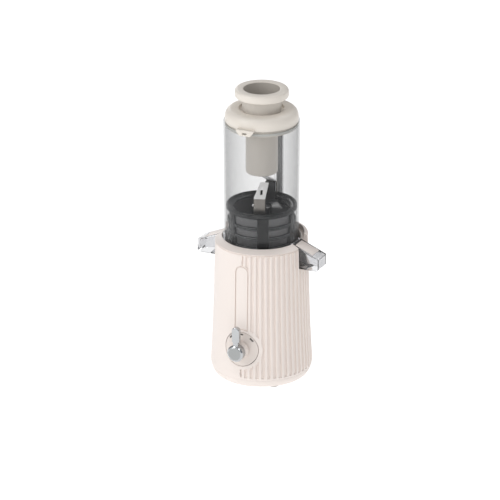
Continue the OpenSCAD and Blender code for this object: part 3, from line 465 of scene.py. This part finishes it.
def disc(radius):
    """A round outline about the middle of the dial."""
    turns = [math.tau * step / 96 for step in range(96)]
    return [(radius * math.cos(turn), dial_height + radius * math.sin(turn)) for turn in turns]


def skin(name, outer, inner, low, high):
    """A band that follows the base's surface between two distances from it."""
    heights = spaced(low, high, 3.0) + [high]
    return turned(name, [(body_radius(height) + outer, height) for height in heights]
                  + [(body_radius(height) + inner, height) for height in reversed(heights)], 360)


def flute_at(across, along, height):
    """Depth of the flutes at a point of the base's surface."""
    around = (math.degrees(math.atan2(along, across)) + 90.0) % 360.0
    number = round(around / flute_pitch)
    if number > flute_count:
        return 0.0
    offset = abs(around - number * flute_pitch) * math.pi / 180 * math.hypot(across, along)
    top = flute_high + wall_rise if around > wall_flutes_from else flute_high
    depth = eases((flute_half_width - offset) / flute_side + 0.5) * eases((height - flute_low) / flute_end)
    depth *= eases((top - height) / flute_end)
    if along < 0:
        depth *= eases(math.hypot(across, height - dial_height) - ring_radius)
        in_strip = abs(across) < strip_width / 2 + strip_groove + 0.4
        if in_strip and dial_height < height < strip_top + strip_groove:
            rise = max(0.0, height - strip_top + strip_width / 2)
            depth *= eases(math.hypot(across, rise) - strip_width / 2 - strip_groove)
    return depth * flute_depth


def seam_at(along, height):
    """Depth of the fine seam that runs round under the shoulder, as far as the rear wall."""
    closeness = 1.6 - abs(height - crease_height + seam_drop) / seam_side
    return 0.0 if along > wall_front else seam_depth * min(1.0, max(0.0, closeness))


wall_top = crease_height + wall_rise
wall_inner_top = shoulder_height(wall_radius) + wall_rise
rows = (spaced(join_height, flute_low, 1.5) + spaced(flute_low, widest_height, 0.8)
        + spaced(widest_height, ring_radius + dial_height + 1, 1.5)
        + spaced(ring_radius + dial_height + 1, strip_top - strip_width / 2, 8.0)
        + spaced(strip_top - strip_width / 2, strip_top + 3, 1.0) + spaced(strip_top + 3, flute_high - 2, 6.0)
        + spaced(flute_high - 2, crease_height, 0.5) + spaced(crease_height, flute_high + wall_rise - 2, 3.0)
        + spaced(flute_high + wall_rise - 2, wall_top, 0.5))
inside_heights = (188.0, 150.0, 110.0, 70.0, 40.0, 24.0, 15.0)
inside = [(body_radius(height) - shell_thickness, height, 0) for height in inside_heights]
shell = turned("base_shell", rounded(
    [(body_radius(join_height), join_height, 0.6)]
    + [(body_radius(height), height, 0) for height in rows[1:]]
    + [(body_radius(wall_top), wall_top, 0.3), (wall_radius, wall_inner_top, 0.8),
       (wall_radius, shoulder_height(wall_radius) + 0.3, 0.4), (mouth_radius, rim_height + 0.3, 1.3),
       (mouth_radius, rim_height - lip_depth, 0.4),
       (crease_radius - shell_thickness, crease_height - lip_depth, 0)]
    + inside), spin_steps)
for point in shell.data.vertices:
    across, along, height = point.co / MM
    radius = math.hypot(across, along)
    if radius > body_radius(height) - 0.02:
        shrink = 1 - (flute_at(across, along, height) + seam_at(along, height)) / radius
        point.co.x *= shrink
        point.co.y *= shrink


def moved(piece, across=0.0, along=0.0, up=0.0):
    """Shifts a piece within its own mesh, so that its object stays at the origin."""
    piece.data.transform(Matrix.Translation((across * MM, along * MM, up * MM)))
    return piece


past_top = 230.0
past_front = -90.0
behind_front = -40.0
above = turned("above_shoulder", [(0.0, shoulder_height(40.0)), (40.0, shoulder_height(40.0)),
                                  (75.0, shoulder_height(75.0)), (75.0, past_top), (0.0, past_top)], 360)
only(above)
bpy.ops.object.mode_set(mode="EDIT")
bpy.ops.mesh.select_all(action="SELECT")
bpy.ops.mesh.bisect(plane_co=(0.0, wall_front * MM, 0.0), plane_no=(0.0, 1.0, 0.0), use_fill=True,
                    clear_outer=True)
bpy.ops.object.mode_set(mode="OBJECT")
cut(shell, above)

notch_half = 13.0
notch_low = 162.0
for side in (-1, 1):
    ends = sorted((side * 44.0, side * 80.0))
    cut(shell, block("notch", (ends[0], -notch_half, notch_low), (ends[1], notch_half, past_top)))
recess = slab("recess", pill(strip_width + 2 * strip_groove, dial_height), past_front, behind_front)
cut(recess, slab("recess_end", disc(ring_radius - strip_groove), past_front - 5, behind_front + 5))
cut(recess, skin("recess_band", 4.0, -strip_depth, 70.0, 180.0), "INTERSECT")
cut(shell, recess)
cut(shell, slab("dial_hole", disc(plate_radius + 0.8), past_front, -20.0))
inlet_half = 12.0
inlet_low = 26.0
inlet_high = 42.0
cut(shell, block("inlet_hole", (-inlet_half, 46.0, inlet_low), (inlet_half, 90.0, inlet_high)))
rod_line = 55.85
rod_passage = 2.46
pad_half = 6.0
cut(shell, block("rod_pad", (-pad_half, mouth_radius + 0.5, rim_height - lip_depth),
                 (pad_half, mouth_radius + 5.7, wall_inner_top)), "UNION")
rod_hole = turned("rod_hole", [(0.0, 170.0), (rod_passage, 170.0), (rod_passage, past_top),
                               (0.0, past_top)], 48)
cut(shell, moved(rod_hole, 0.0, rod_line))
fit(smoothed(shell), cream, "base", "cream_body", "body_shell")
# Faces sunk in the flutes and in the seam under the shoulder take a slightly darker cream: painted shade in
# the grooves.
painted_groove_shade = plastic("painted_groove_shade", tone(237, 226, 219), tone(234, 223, 216), 0.42, 2600.0, 0.00002)
shell.data.materials.append(painted_groove_shade)
for face in shell.data.polygons:
    across, along, height = face.center / MM
    sunk = body_radius(height) - math.hypot(across, along)
    if 0.6 < sunk < flute_depth + 0.2 and height > join_height + 1:
        face.material_index = 1

# Strip and dial. A bare cream strip with a rounded top lies in its recess, and ends at the smooth ring round
# the dial plate, a cream disc that follows the base's curve and carries three printed marks for the lever.
strip = slab("name_strip", pill(strip_width, dial_height), past_front, behind_front)
cut(strip, slab("strip_end", disc(ring_radius), past_front - 5, behind_front + 5))
cut(strip, skin("strip_band", 0.0, -strip_depth, 70.0, 180.0), "INTERSECT")
fit(eased(strip, 0.35), cream, "base", "cream_body", "front_strip")

# The dial plate takes a slightly darker cream than the shell: painted shade from the knob that stands over
# it.
dial_painted_shade = plastic("dial_painted_shade", tone(228, 218, 211), tone(225, 215, 208), 0.36, 2600.0, 0.00002)
fit(eased(copied("dial_plate"), 0.35), dial_painted_shade, "base", "cream_body", "dial_plate")

print_grey = plastic("print_grey", tone(96, 92, 88), tone(84, 80, 76), 0.5, 900.0, 0.00001)
mark_radius = 21.0
mark_half_length = 3.0
mark_half_width = 1.1
marks = []
for turn in (-45, 0, 45):
    lean = math.radians(turn)
    corners = []
    for along, out in ((-1, -1), (1, -1), (1, 1), (-1, 1)):
        radius = mark_radius + out * mark_half_width
        angle = lean + along * mark_half_length / mark_radius
        corners.append((radius * math.sin(angle), dial_height + radius * math.cos(angle)))
    mark = slab("dial_mark", corners, -80.0, -40.0)
    marks.append(cut(mark, skin("mark_band", 0.08, -0.6, dial_height - 5, dial_height + 30), "INTERSECT"))


def joined(pieces):
    """Makes separate shapes one object."""
    bpy.ops.object.select_all(action="DESELECT")
    for piece in pieces:
        piece.select_set(True)
    bpy.context.view_layer.objects.active = pieces[0]
    bpy.ops.object.join()
    return pieces[0]


fit(joined(marks), print_grey, "base", "grey_plastic")

# Knob. A cream collar stands out of the dial plate. On it sits a chrome hub with a bevelled rim round a
# brushed face, and a chrome lever that reaches up from the hub on a narrower neck.
chrome = metal("chrome", (0.52, 0.53, 0.54, 1), (0.49, 0.5, 0.51, 1), 0.1, (500.0, 500.0, 3000.0))
brushed = metal("brushed_face", (0.42, 0.43, 0.43, 1), (0.38, 0.39, 0.39, 1), 0.4, (3000.0, 300.0, 300.0))
fit(eased(copied("knob_collar"), 0.4), cream, "knob", "cream_body", "knob_collar")
knob_low, knob_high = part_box("knob")
hub_radius = 11.5
hub_depth = 11.0
hub_front = -knob_low[1] / MM
hub_back = hub_front - hub_depth
stem_radius = 3.0
stem_end = -knob_high[1] / MM
lever_reach = 36.5
lever_half = 5.3
lever_neck = lever_half * 0.66
lever_tip = lever_reach - lever_half
lever_back = 2.4
lever_depth = 6.4


def out_of_dial(piece):
    """Turns a piece made upright so that its up points out of the dial, from the middle of the juicer."""
    raised = Matrix.Translation((0.0, 0.0, dial_height * MM))
    piece.data.transform(raised @ Matrix.Rotation(math.pi / 2, 4, "X"))
    return piece


hub = turned("knob_hub", rounded(
    [(0.0, stem_end, 0), (stem_radius, stem_end, 0.4), (stem_radius, hub_back, 0),
     (hub_radius - 0.8, hub_back, 0.3), (hub_radius, hub_back + 1.6, 0.5), (hub_radius, hub_front - 1.8, 0.7),
     (hub_radius - 1.8, hub_front - 0.2, 0.3), (hub_radius - 2.4, hub_front - 0.2, 0.2),
     (hub_radius - 2.8, hub_front, 0.2), (0.0, hub_front, 0)]), 96)
lever_arc = [math.radians(turn) for turn in range(0, 181, 12)]
lever_outline = [(lever_half * math.cos(turn), lever_tip + lever_half * math.sin(turn)) for turn in lever_arc]
lever_outline += [(-lever_half, hub_radius + 4.5), (-lever_neck, hub_radius + 3.0),
                  (-lever_neck, hub_radius - 3.0), (lever_neck, hub_radius - 3.0),
                  (lever_neck, hub_radius + 3.0), (lever_half, hub_radius + 4.5)]
lever = slab("knob_lever", [(across, dial_height + up) for across, up in lever_outline],
             -(hub_back + lever_back + lever_depth), -(hub_back + lever_back))
eased(lever, 1.7, 4)
cut(out_of_dial(hub), lever, "UNION")
fit(smoothed(hub, 30.0), chrome, "knob", "knob_chrome", "knob")
hub.data.materials.append(brushed)
for face in hub.data.polygons:
    across, along, up = face.center / MM
    if along < -hub_front + 0.1 and math.hypot(across, up - dial_height) < hub_radius - 2.5:
        face.material_index = 1
paint(grey, "rotary_switch")

# Power inlet. A black two-pin socket clipped into the back of the shell, near the floor.
fit(eased(copied("power_inlet"), 0.3), charcoal, "base", "charcoal", "power_inlet")
pin_radius = 1.2
pin_root = 53.0
pin_tip = 62.0
pin_aside = 4.0
pin_height = 34.0
for side in (-1, 1):
    pin = turned("inlet_pin", rounded([(0.0, pin_root, 0), (pin_radius, pin_root, 0),
                                       (pin_radius, pin_tip, 0.8), (0.0, pin_tip, 0)]), 24)
    pin.data.transform(Matrix.Rotation(-math.pi / 2, 4, "X"))
    fit(moved(pin, side * pin_aside, 0.0, pin_height), steel, "base", "machined_steel")

# Safety switch. The lid presses a sprung grey rod in the bowl's guide, and the rod's tip presses a plunger
# into a small switch under the rear wall.
paint(charcoal, "interlock_switch")
paint(nylon, "switch_plunger")
rod_grey = plastic("rod_grey", tone(184, 185, 185), tone(176, 177, 178), 0.3, 2200.0, 0.00002)
paint(rod_grey, "interlock_rod")
fit(smoothed(copied("rod_spring"), 50.0), steel, "rod", "machined_steel", "rod_spring")

# Strainer. A charcoal moulding of ribs and stepped hoops between a rim and a foot, round a fine dark steel
# screen with rows of etched holes.
strainer_black = plastic("strainer_black", tone(34, 36, 37), tone(28, 30, 31), 0.12, 2200.0, 0.00002)
bowl_low = 156.5
bowl_top = 359.4
bowl_top_radius = 50.6
bowl_taper = 1.25 / 161.4
bowl_wall = 2.2
strainer_low = 159.1
strainer_top = 243.0
rim_low = 236.5
strainer_foot = 38.5
strainer_rim = 47.05
strainer_hole = 13.9
strainer_wall = 2.2
foot_top = 167.0
hoop_half = 2.0
hoop_heights = (221.4, 207.2, 193.0, 178.8)
front_rib_half = 7.4
rib_half = 4.1
rib_turn = -63.0
rib_pitch = 60.0


def strainer_radius(height):
    """Outside radius of the strainer below its rim."""
    share = (height - strainer_low) / (rim_low - strainer_low)
    return strainer_foot + (strainer_rim - 1.2 - strainer_foot) * share ** 0.75


def swung(piece, turn):
    """Turns a piece about the upright axis within its own mesh."""
    piece.data.transform(Matrix.Rotation(math.radians(turn), 4, "Z"))
    return piece


hoops = [turned("strainer_rim", rounded(
    [(strainer_rim - 2.4, rim_low - 0.5, 0), (strainer_rim - 1.6, rim_low - 0.5, 0.3),
     (strainer_rim, rim_low + 1, 0.3), (strainer_rim, strainer_top - 2.4, 0.8),
     (strainer_rim - 1.0, strainer_top - 1.6, 0.3), (strainer_rim - 1.2, strainer_top, 0.8),
     (strainer_rim - 3.4, strainer_top, 0.6), (strainer_rim - 4.2, rim_low + 1.5, 0.5)], 3))]
for height in hoop_heights:
    radius = strainer_radius(height)
    hoops.append(turned("strainer_hoop", rounded(
        [(radius - strainer_wall, height - hoop_half, 0), (radius + 0.8, height - hoop_half, 0.9),
         (radius + 0.8, height - 0.1, 0.9), (radius - 0.2, height, 0.1),
         (radius + 0.6, height + 0.1, 0.9), (radius + 0.6, height + hoop_half, 0.9),
         (radius - strainer_wall, height + hoop_half, 0)], 4)))
hoops.append(turned("strainer_foot", rounded(
    [(strainer_hole, strainer_low, 0), (strainer_foot, strainer_low, 0.5),
     (strainer_radius(foot_top), foot_top, 0.5), (strainer_radius(foot_top) - strainer_wall, foot_top, 0.5),
     (strainer_foot - 2.0, strainer_low + 2.4, 1.0), (strainer_hole, strainer_low + 2.4, 0)], 3)))
hoops = joined(hoops)
bars = [block("strainer_rib", (20.0, -front_rib_half, 160.0), (60.0, front_rib_half, 238.0))]
for number in range(1, 6):
    bar = block("strainer_rib", (20.0, -rib_half, 160.0), (60.0, rib_half, 238.0))
    bars.append(swung(bar, number * rib_pitch))
rib_heights = spaced(162.0, rim_low, 6.0) + [rim_low]
ribs = turned("strainer_ribs", [(strainer_radius(height) + 0.9, height) for height in rib_heights]
              + [(strainer_radius(height) - strainer_wall, height) for height in reversed(rib_heights)])
cut(ribs, swung(joined(bars), rib_turn), "INTERSECT")
cut(hoops, ribs, "UNION")
fit(eased(hoops, 0.3), strainer_black, "bowl_set", "charcoal", "strainer_frame")
rib_black = plastic("rib_black", tone(15, 16, 17), tone(12, 13, 14), 0.14, 2200.0, 0.00002)
# A lighter grey on the hoops' upward, outward slopes is a painted highlight, the light lines that light would
# draw along them.
hoop_painted_highlight = plastic("hoop_painted_highlight", tone(132, 134, 135), tone(118, 120, 121), 0.2, 2200.0, 0.00002)
hoops.data.materials.append(rib_black)
hoops.data.materials.append(hoop_painted_highlight)
for face in hoops.data.polygons:
    radius = math.hypot(*face.center[:2])
    outward = (face.normal.x * face.center.x + face.normal.y * face.center.y) / radius
    height = face.center.z / MM
    # Up-facing outer faces of the hoops take the painted highlight.
    if 0.2 < face.normal.z < 0.97 and outward > 0.15 and 170.0 < height < rim_low:
        face.material_index = 2
    turn = math.atan2(face.center.y, face.center.x) - math.radians(rib_turn)
    number = round(turn / math.radians(rib_pitch))
    aside = radius / MM * math.sin(abs(turn - number * math.radians(rib_pitch)))
    half = front_rib_half if number % 6 == 0 else rib_half
    if aside < half and outward > 0.5 and 163.0 < height < rim_low:
        face.material_index = 1
hole_pitch = 0.0011
holes_round = 220.0
screen_low = 161.5
screen_high = 237.5


def etched_steel(name, colour, hole_colour):
    """Thin steel with rows of tiny etched holes round an upright axis."""
    finish = Finish(name, Metallic=0.6)
    across, along, up = [finish.node("ShaderNodeSeparateXYZ", {}, {"Vector": finish.place}, part)
                         for part in range(3)]
    turn = across.math("ARCTAN2", along, across)
    row = across.math("SINE", up * (math.tau / hole_pitch))
    column = across.math("SINE", turn * holes_round)
    hole = row * column > 0.35
    haze = finish.noise(60.0)
    return finish.wear(Base_Color=finish.mixed(hole, colour, hole_colour), Roughness=haze * 0.1 + 0.35,
                       Normal=finish.bump(hole * -1.0, 0.00008))


screen_steel = etched_steel("screen_steel", (0.22, 0.22, 0.225, 1), (0.05, 0.05, 0.05, 1))
screen_heights = spaced(screen_low, screen_high, 4.0) + [screen_high]
screen_line = [(strainer_radius(min(height, rim_low)), height) for height in screen_heights]
screen = turned("strainer_screen", [(radius - 2.3, height) for radius, height in screen_line]
                + [(radius - 2.9, height) for radius, height in reversed(screen_line)], 256)
fit(screen, screen_steel, "bowl_set", "strainer_metal", "strainer_mesh")

# Auger. A charcoal screw with two flights round a tapering core, turned by the hexagonal shaft, with a folded
# steel cutter riveted to the post at the top of each flight.
auger_black = plastic("auger_black", tone(46, 47, 48), tone(40, 41, 42), 0.1, 1800.0, 0.00002)
auger_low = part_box("auger")[0][2] / MM
core_low = 166.9
core_top = 239.0
core_foot_radius = 25.0
core_top_radius = 13.0
stem_outside = 9.0
socket_radius = 7.2
socket_depth = 33.0
flight_pitch = 84.0
flight_thickness = 3.2
flight_lag = 81.0
cutter_turns = (20.2, 184.3)
post_radius = 36.55
post_half = 7.0
knee_height = 262.0


def core_radius(height):
    """Radius of the auger's core."""
    share = (height - core_low) / (core_top - core_low)
    return core_foot_radius + (core_top_radius - core_foot_radius) * math.sin(math.pi / 2 * share)


core_heights = spaced(core_low, core_top, 5.0) + [core_top]
auger = turned("auger_core", rounded(
    [(stem_outside, auger_low, 0.4), (stem_outside, core_low, 0.3), (core_foot_radius, core_low, 1.0)]
    + [(core_radius(height), height, 0) for height in core_heights[1:]]
    + [(core_top_radius - 6.0, core_top + 2.4, 0), (0.0, core_top + 3.0, 0),
       (0.0, auger_low + socket_depth, 0), (socket_radius, auger_low + socket_depth, 0),
       (socket_radius, auger_low, 0.3)]))
flight_rise = core_top - core_low - 1
for cutter_turn in cutter_turns:
    bpy.ops.object.select_all(action="DESELECT")
    bpy.ops.mesh.primitive_grid_add(x_subdivisions=120, y_subdivisions=4, size=1.0)
    flight = bpy.context.object
    flight.name = "auger_flight"
    for point in flight.data.vertices:
        share = point.co.x + 0.5
        out = point.co.y + 0.5
        height = core_low + 1 + flight_rise * share
        turn = math.radians(cutter_turn - flight_lag) - math.tau * flight_rise / flight_pitch * (1 - share)
        root = core_radius(height) - 3.0
        edge = strainer_radius(min(height, rim_low)) - 3.4
        radius = (root + (edge - root) * out) * MM
        point.co = (radius * math.cos(turn), radius * math.sin(turn), height * MM)
    thick = flight.modifiers.new("thick", "SOLIDIFY")
    thick.thickness = flight_thickness * MM
    thick.offset = 0.0
    bpy.ops.object.modifier_apply(modifier="thick")
    eased(flight, 0.7, 3)
    cut(auger, flight, "UNION")
    post = block("auger_post", (post_radius - 5.0, -post_half, core_top - 3),
                 (post_radius, post_half, knee_height - 1.5))
    cut(auger, swung(eased(post, 0.5), cutter_turn - 90.0), "UNION")
edge = strainer_radius(rim_low) - 3.4
cut(auger, turned("auger_rim", rounded(
    [(edge - 5.0, core_top - 1.5, 0.4), (edge - 3.4, core_top - 3.0, 0.4), (edge, core_top - 1.0, 0.4),
     (edge, core_top + 1.6, 0.6), (edge - 5.4, core_top, 0.5)], 4)), "UNION")
fit(smoothed(auger), auger_black, "auger_set", "charcoal", "auger")
# The cutters' upper plates take a matte white as a painted highlight, and their upright faces below the knee
# a brownish grey as painted shade.
cutter_painted_highlight = metal("cutter_painted_highlight", (1.0, 1.0, 1.0, 1), (0.97, 0.97, 0.98, 1), 0.25,
                     (300.0, 5000.0, 300.0), metallic=0.0)
cutter_painted_shade = metal("cutter_painted_shade", (0.3, 0.28, 0.26, 1), (0.26, 0.24, 0.22, 1), 0.35, (300.0, 5000.0, 300.0))
cutters = eased(copied("cutters"), 0.25)
fit(cutters, cutter_painted_highlight, "auger_set", "cutter_steel", "cutters")
cutters.data.materials.append(cutter_painted_shade)
# Faces below the knee take the painted shade; the rest keep the painted highlight.
for face in cutters.data.polygons:
    if face.center.z / MM < knee_height + 0.3:
        face.material_index = 1
paint(grey, "auger_bush")

# Bowl. A deep clear cup with a slight taper, a tower in its floor for the auger's bush, a port on each side
# for the spouts, and a guide for the safety rod moulded down its back.


def clear_wall(name, colour, shade, flat, steep):
    """A thin wall of clear plastic that takes a little light, and more where it is seen edge on."""
    finish = Finish(name, IOR=1.45)
    slope = finish.node("ShaderNodeLayerWeight", {}, {"Blend": 0.35}, "Facing")
    haze = finish.noise(60.0)
    return finish.wear(Base_Color=finish.mixed(haze, colour, shade), Roughness=haze * 0.03 + 0.03,
                       Alpha=slope * steep + flat)


def clear(name, tint, edge, gloss):
    """Thick clear plastic that bends light, a little greyer where it is seen edge on."""
    finish = Finish(name, Transmission_Weight=1.0, IOR=1.45)
    slope = finish.node("ShaderNodeLayerWeight", {}, {"Blend": 0.35}, "Facing")
    haze = finish.noise(60.0)
    return finish.wear(Base_Color=finish.mixed(slope, tint, edge), Roughness=haze * 0.02 + gloss)


def bowl_outside(height):
    """Outside radius of the bowl."""
    return bowl_top_radius - (bowl_top - height) * bowl_taper


clear_bowl = clear_wall("clear_bowl", (0.12, 0.122, 0.125, 1), (0.14, 0.142, 0.145, 1), 0.07, 0.34)
clear_plastic = clear("clear_plastic", (0.79, 0.79, 0.8, 1), (0.42, 0.42, 0.43, 1), 0.01)
silicone = plastic("silicone", tone(215, 215, 210), tone(205, 205, 200), 0.5, 1500.0, 0.00002)
bowl_floor = strainer_low
tower_radius = 13.7
tower_hole = 11.5
tower_top = 166.6
bowl_heights = spaced(bowl_low + 3, bowl_top - 3, 8.0)
bowl = turned("bowl_cup", rounded(
    [(bowl_outside(bowl_low), bowl_low, 1.2)] + [(bowl_outside(height), height, 0) for height in bowl_heights]
    + [(bowl_top_radius, bowl_top, 0.7), (bowl_top_radius - bowl_wall, bowl_top, 0.7)]
    + [(bowl_outside(height) - bowl_wall, height, 0) for height in reversed(bowl_heights[1:])]
    + [(bowl_outside(bowl_floor) - bowl_wall, bowl_floor, 1.5), (tower_radius, bowl_floor, 0.8),
       (tower_radius, tower_top, 0.5), (tower_hole, tower_top, 0.3), (tower_hole, bowl_low, 0.3)]), 256)
guide_low = 206.3
guide_high = bowl_top - 2.5
guide_half = 5.46
guide_bore = 4.06
guide = block("rod_guide", (-guide_half, 46.3, guide_low), (guide_half, rod_line, guide_high))
cut(guide, moved(turned("guide_round", [(0.0, guide_low), (guide_half, guide_low), (guide_half, guide_high),
                                        (0.0, guide_high)], 64), 0.0, rod_line), "UNION")
cut(guide, turned("guide_front", [(0.0, 200.0), (48.6, 200.0), (48.6, 370.0), (0.0, 370.0)], 256))
eased(guide, 0.4)
cut(bowl, guide, "UNION")
guide_hole = turned("guide_hole", [(0.0, guide_low - 2), (rod_passage, guide_low - 2),
                                   (rod_passage, guide_low + 3), (guide_bore, guide_low + 3),
                                   (guide_bore, 370.0), (0.0, 370.0)], 64)
cut(bowl, moved(guide_hole, 0.0, rod_line))
port_half = 10.2
port_low = 165.5
port_high = 193.0
for side in (-1, 1):
    ends = sorted((side * 41.4, side * 61.4))
    cut(bowl, block("spout_port", (ends[0], -port_half, port_low), (ends[1], port_half, port_high)))
fit(smoothed(bowl), clear_bowl, "bowl_set", "clear_bowl", "bowl")
paint(silicone, "floor_seal", "lid_seal")

# Spouts. Two clear troughs, bonded to the bowl's sides, that slope out over the base and open downwards near
# their tips, each with a cream cover let into its roof.
for node in ("right_spout", "left_spout"):
    fit(eased(copied(node), 0.35), clear_plastic, "bowl_set", "clear_bowl", node)
for node in ("right_spout_cover", "left_spout_cover"):
    fit(eased(copied(node), 0.25), cream, "bowl_set", "cream_body", node)

# Lid. A warm cream moulding with a rounded brim and a flat top round the feed mouth, a skirt with a silicone
# seal inside the bowl, a slotted tab at the front and a lug behind that presses the safety rod.
lid_cream = plastic("lid_plastic", tone(226, 219, 210), tone(223, 216, 206), 0.36, 2600.0, 0.00002)
lid_radius = 48.4
lid_edge = bowl_top + 5.6
lid_top = 376.0
brim = 8.4
recess_radius = 29.8
lid_recess = 373.5
feed_radius = 21.4
skirt_radius = 46.4
skirt_low = 351.4
tube_wall = 2.4
brim_arc = [(lid_radius - brim + brim * math.cos(math.radians(turn)),
             lid_edge + (lid_top - lid_edge) * math.sin(math.radians(turn)), 0) for turn in range(0, 91, 9)]
lid = turned("lid_moulding", rounded(
    [(lid_radius, bowl_top, 0.4)] + brim_arc
    + [(recess_radius, lid_top, 0.8), (recess_radius, lid_recess, 0.6), (feed_radius, lid_recess, 0.7),
       (feed_radius, skirt_low, 0.4), (feed_radius + tube_wall, skirt_low, 0.4),
       (feed_radius + tube_wall, lid_recess - 3, 1.0), (recess_radius + 2, lid_recess - 2, 0),
       (skirt_radius - 2.2, lid_edge - 1, 0.5), (skirt_radius - 2.2, skirt_low, 0.4),
       (skirt_radius, skirt_low, 0.4), (skirt_radius, bowl_top, 0)]))
tab_near = -(bowl_top_radius + 0.3)
tab_top = bowl_top + 2.6
tab_low = bowl_top - 5.5
tab_thickness = 3.2
tab_slot_half = 3.2
tab_slot_low = bowl_top - 3.4
tab_slot_high = bowl_top - 1.2
tab_outline = rounded([(-13.0, tab_top, 0.8), (-11.4, bowl_top - 1.0, 2.0), (-7.4, tab_low, 1.6),
                       (7.4, tab_low, 1.6), (11.4, bowl_top - 1.0, 2.0), (13.0, tab_top, 0.8)], 4)
tab = slab("lid_tab", tab_outline, tab_near - tab_thickness, tab_near)
tab_slot = rounded([(-tab_slot_half, tab_slot_low, 0.6), (tab_slot_half, tab_slot_low, 0.6),
                    (tab_slot_half, tab_slot_high, 0.6), (-tab_slot_half, tab_slot_high, 0.6)], 3)
cut(tab, slab("tab_slot", tab_slot, tab_near - 10, tab_near + 5))
eased(tab, 0.6)
tab_bridge = block("tab_bridge", (-12.0, tab_near - 1.0, bowl_top + 0.3),
                   (12.0, tab_near + 6.0, tab_top - 0.1))
cut(tab, tab_bridge, "UNION")
cut(lid, tab, "UNION")
lug = block("lid_lug", (-8.0, lid_radius - 3.0, bowl_top + 1.0), (8.0, rod_line + 4.0, bowl_top + 7.0))
cut(lid, eased(lug, 0.6), "UNION")
fit(smoothed(lid), lid_cream, "lid_set", "lid_cream", "lid")

# Pusher. A hollow warm cream cup that stands in the feed mouth: a round-bottomed tube, a wider neck that
# rests on the lid, and a thick flange round its open mouth.
pusher_foot = 286.5
pusher_radius = 21.1
neck_radius = 26.0
flange_low = lid_recess + 18.6
flange_high = flange_low + 11.2
flange_radius = 35.4
mouth_edge = 24.0
pusher_wall = 2.2
pusher = turned("pusher_cup", rounded(
    [(0.0, pusher_foot, 0), (pusher_radius, pusher_foot, 3.0), (pusher_radius, lid_recess, 0.3),
     (neck_radius, lid_recess, 0.6), (neck_radius, flange_low, 0.8), (flange_radius, flange_low, 2.0),
     (flange_radius, flange_high, 3.6), (mouth_edge, flange_high, 1.6),
     (mouth_edge - 1.0, lid_recess + 4, 1.0), (pusher_radius - pusher_wall, lid_recess - 2, 1.0),
     (pusher_radius - pusher_wall - 1, pusher_foot + pusher_wall, 1.5), (0.0, pusher_foot + pusher_wall, 0)]))
fit(pusher, lid_cream, "pusher", "lid_cream", "pusher")
# The cup's inside takes a grey-brown cream: painted shade inside the hollow cup.
pusher_painted_inner_shade = plastic("pusher_painted_inner_shade", tone(184, 178, 170), tone(178, 172, 164), 0.45, 2600.0, 0.00002)
# The neck and tube below the flange take a darker cream: painted shade where the lid and the clear bowl dim
# them.
pusher_painted_tube_shade = plastic("pusher_painted_tube_shade", tone(205, 199, 191), tone(199, 193, 185), 0.36, 2600.0, 0.00002)
pusher.data.materials.append(pusher_painted_inner_shade)
pusher.data.materials.append(pusher_painted_tube_shade)
# Inward faces take the painted inner shade, outer faces below the flange the painted tube shade.
for face in pusher.data.polygons:
    height = face.center.z / MM
    inward = face.normal.x * face.center.x + face.normal.y * face.center.y < 0
    if inward and height < flange_high - 1.2:
        face.material_index = 1
    elif height < flange_low - 0.5:
        face.material_index = 2
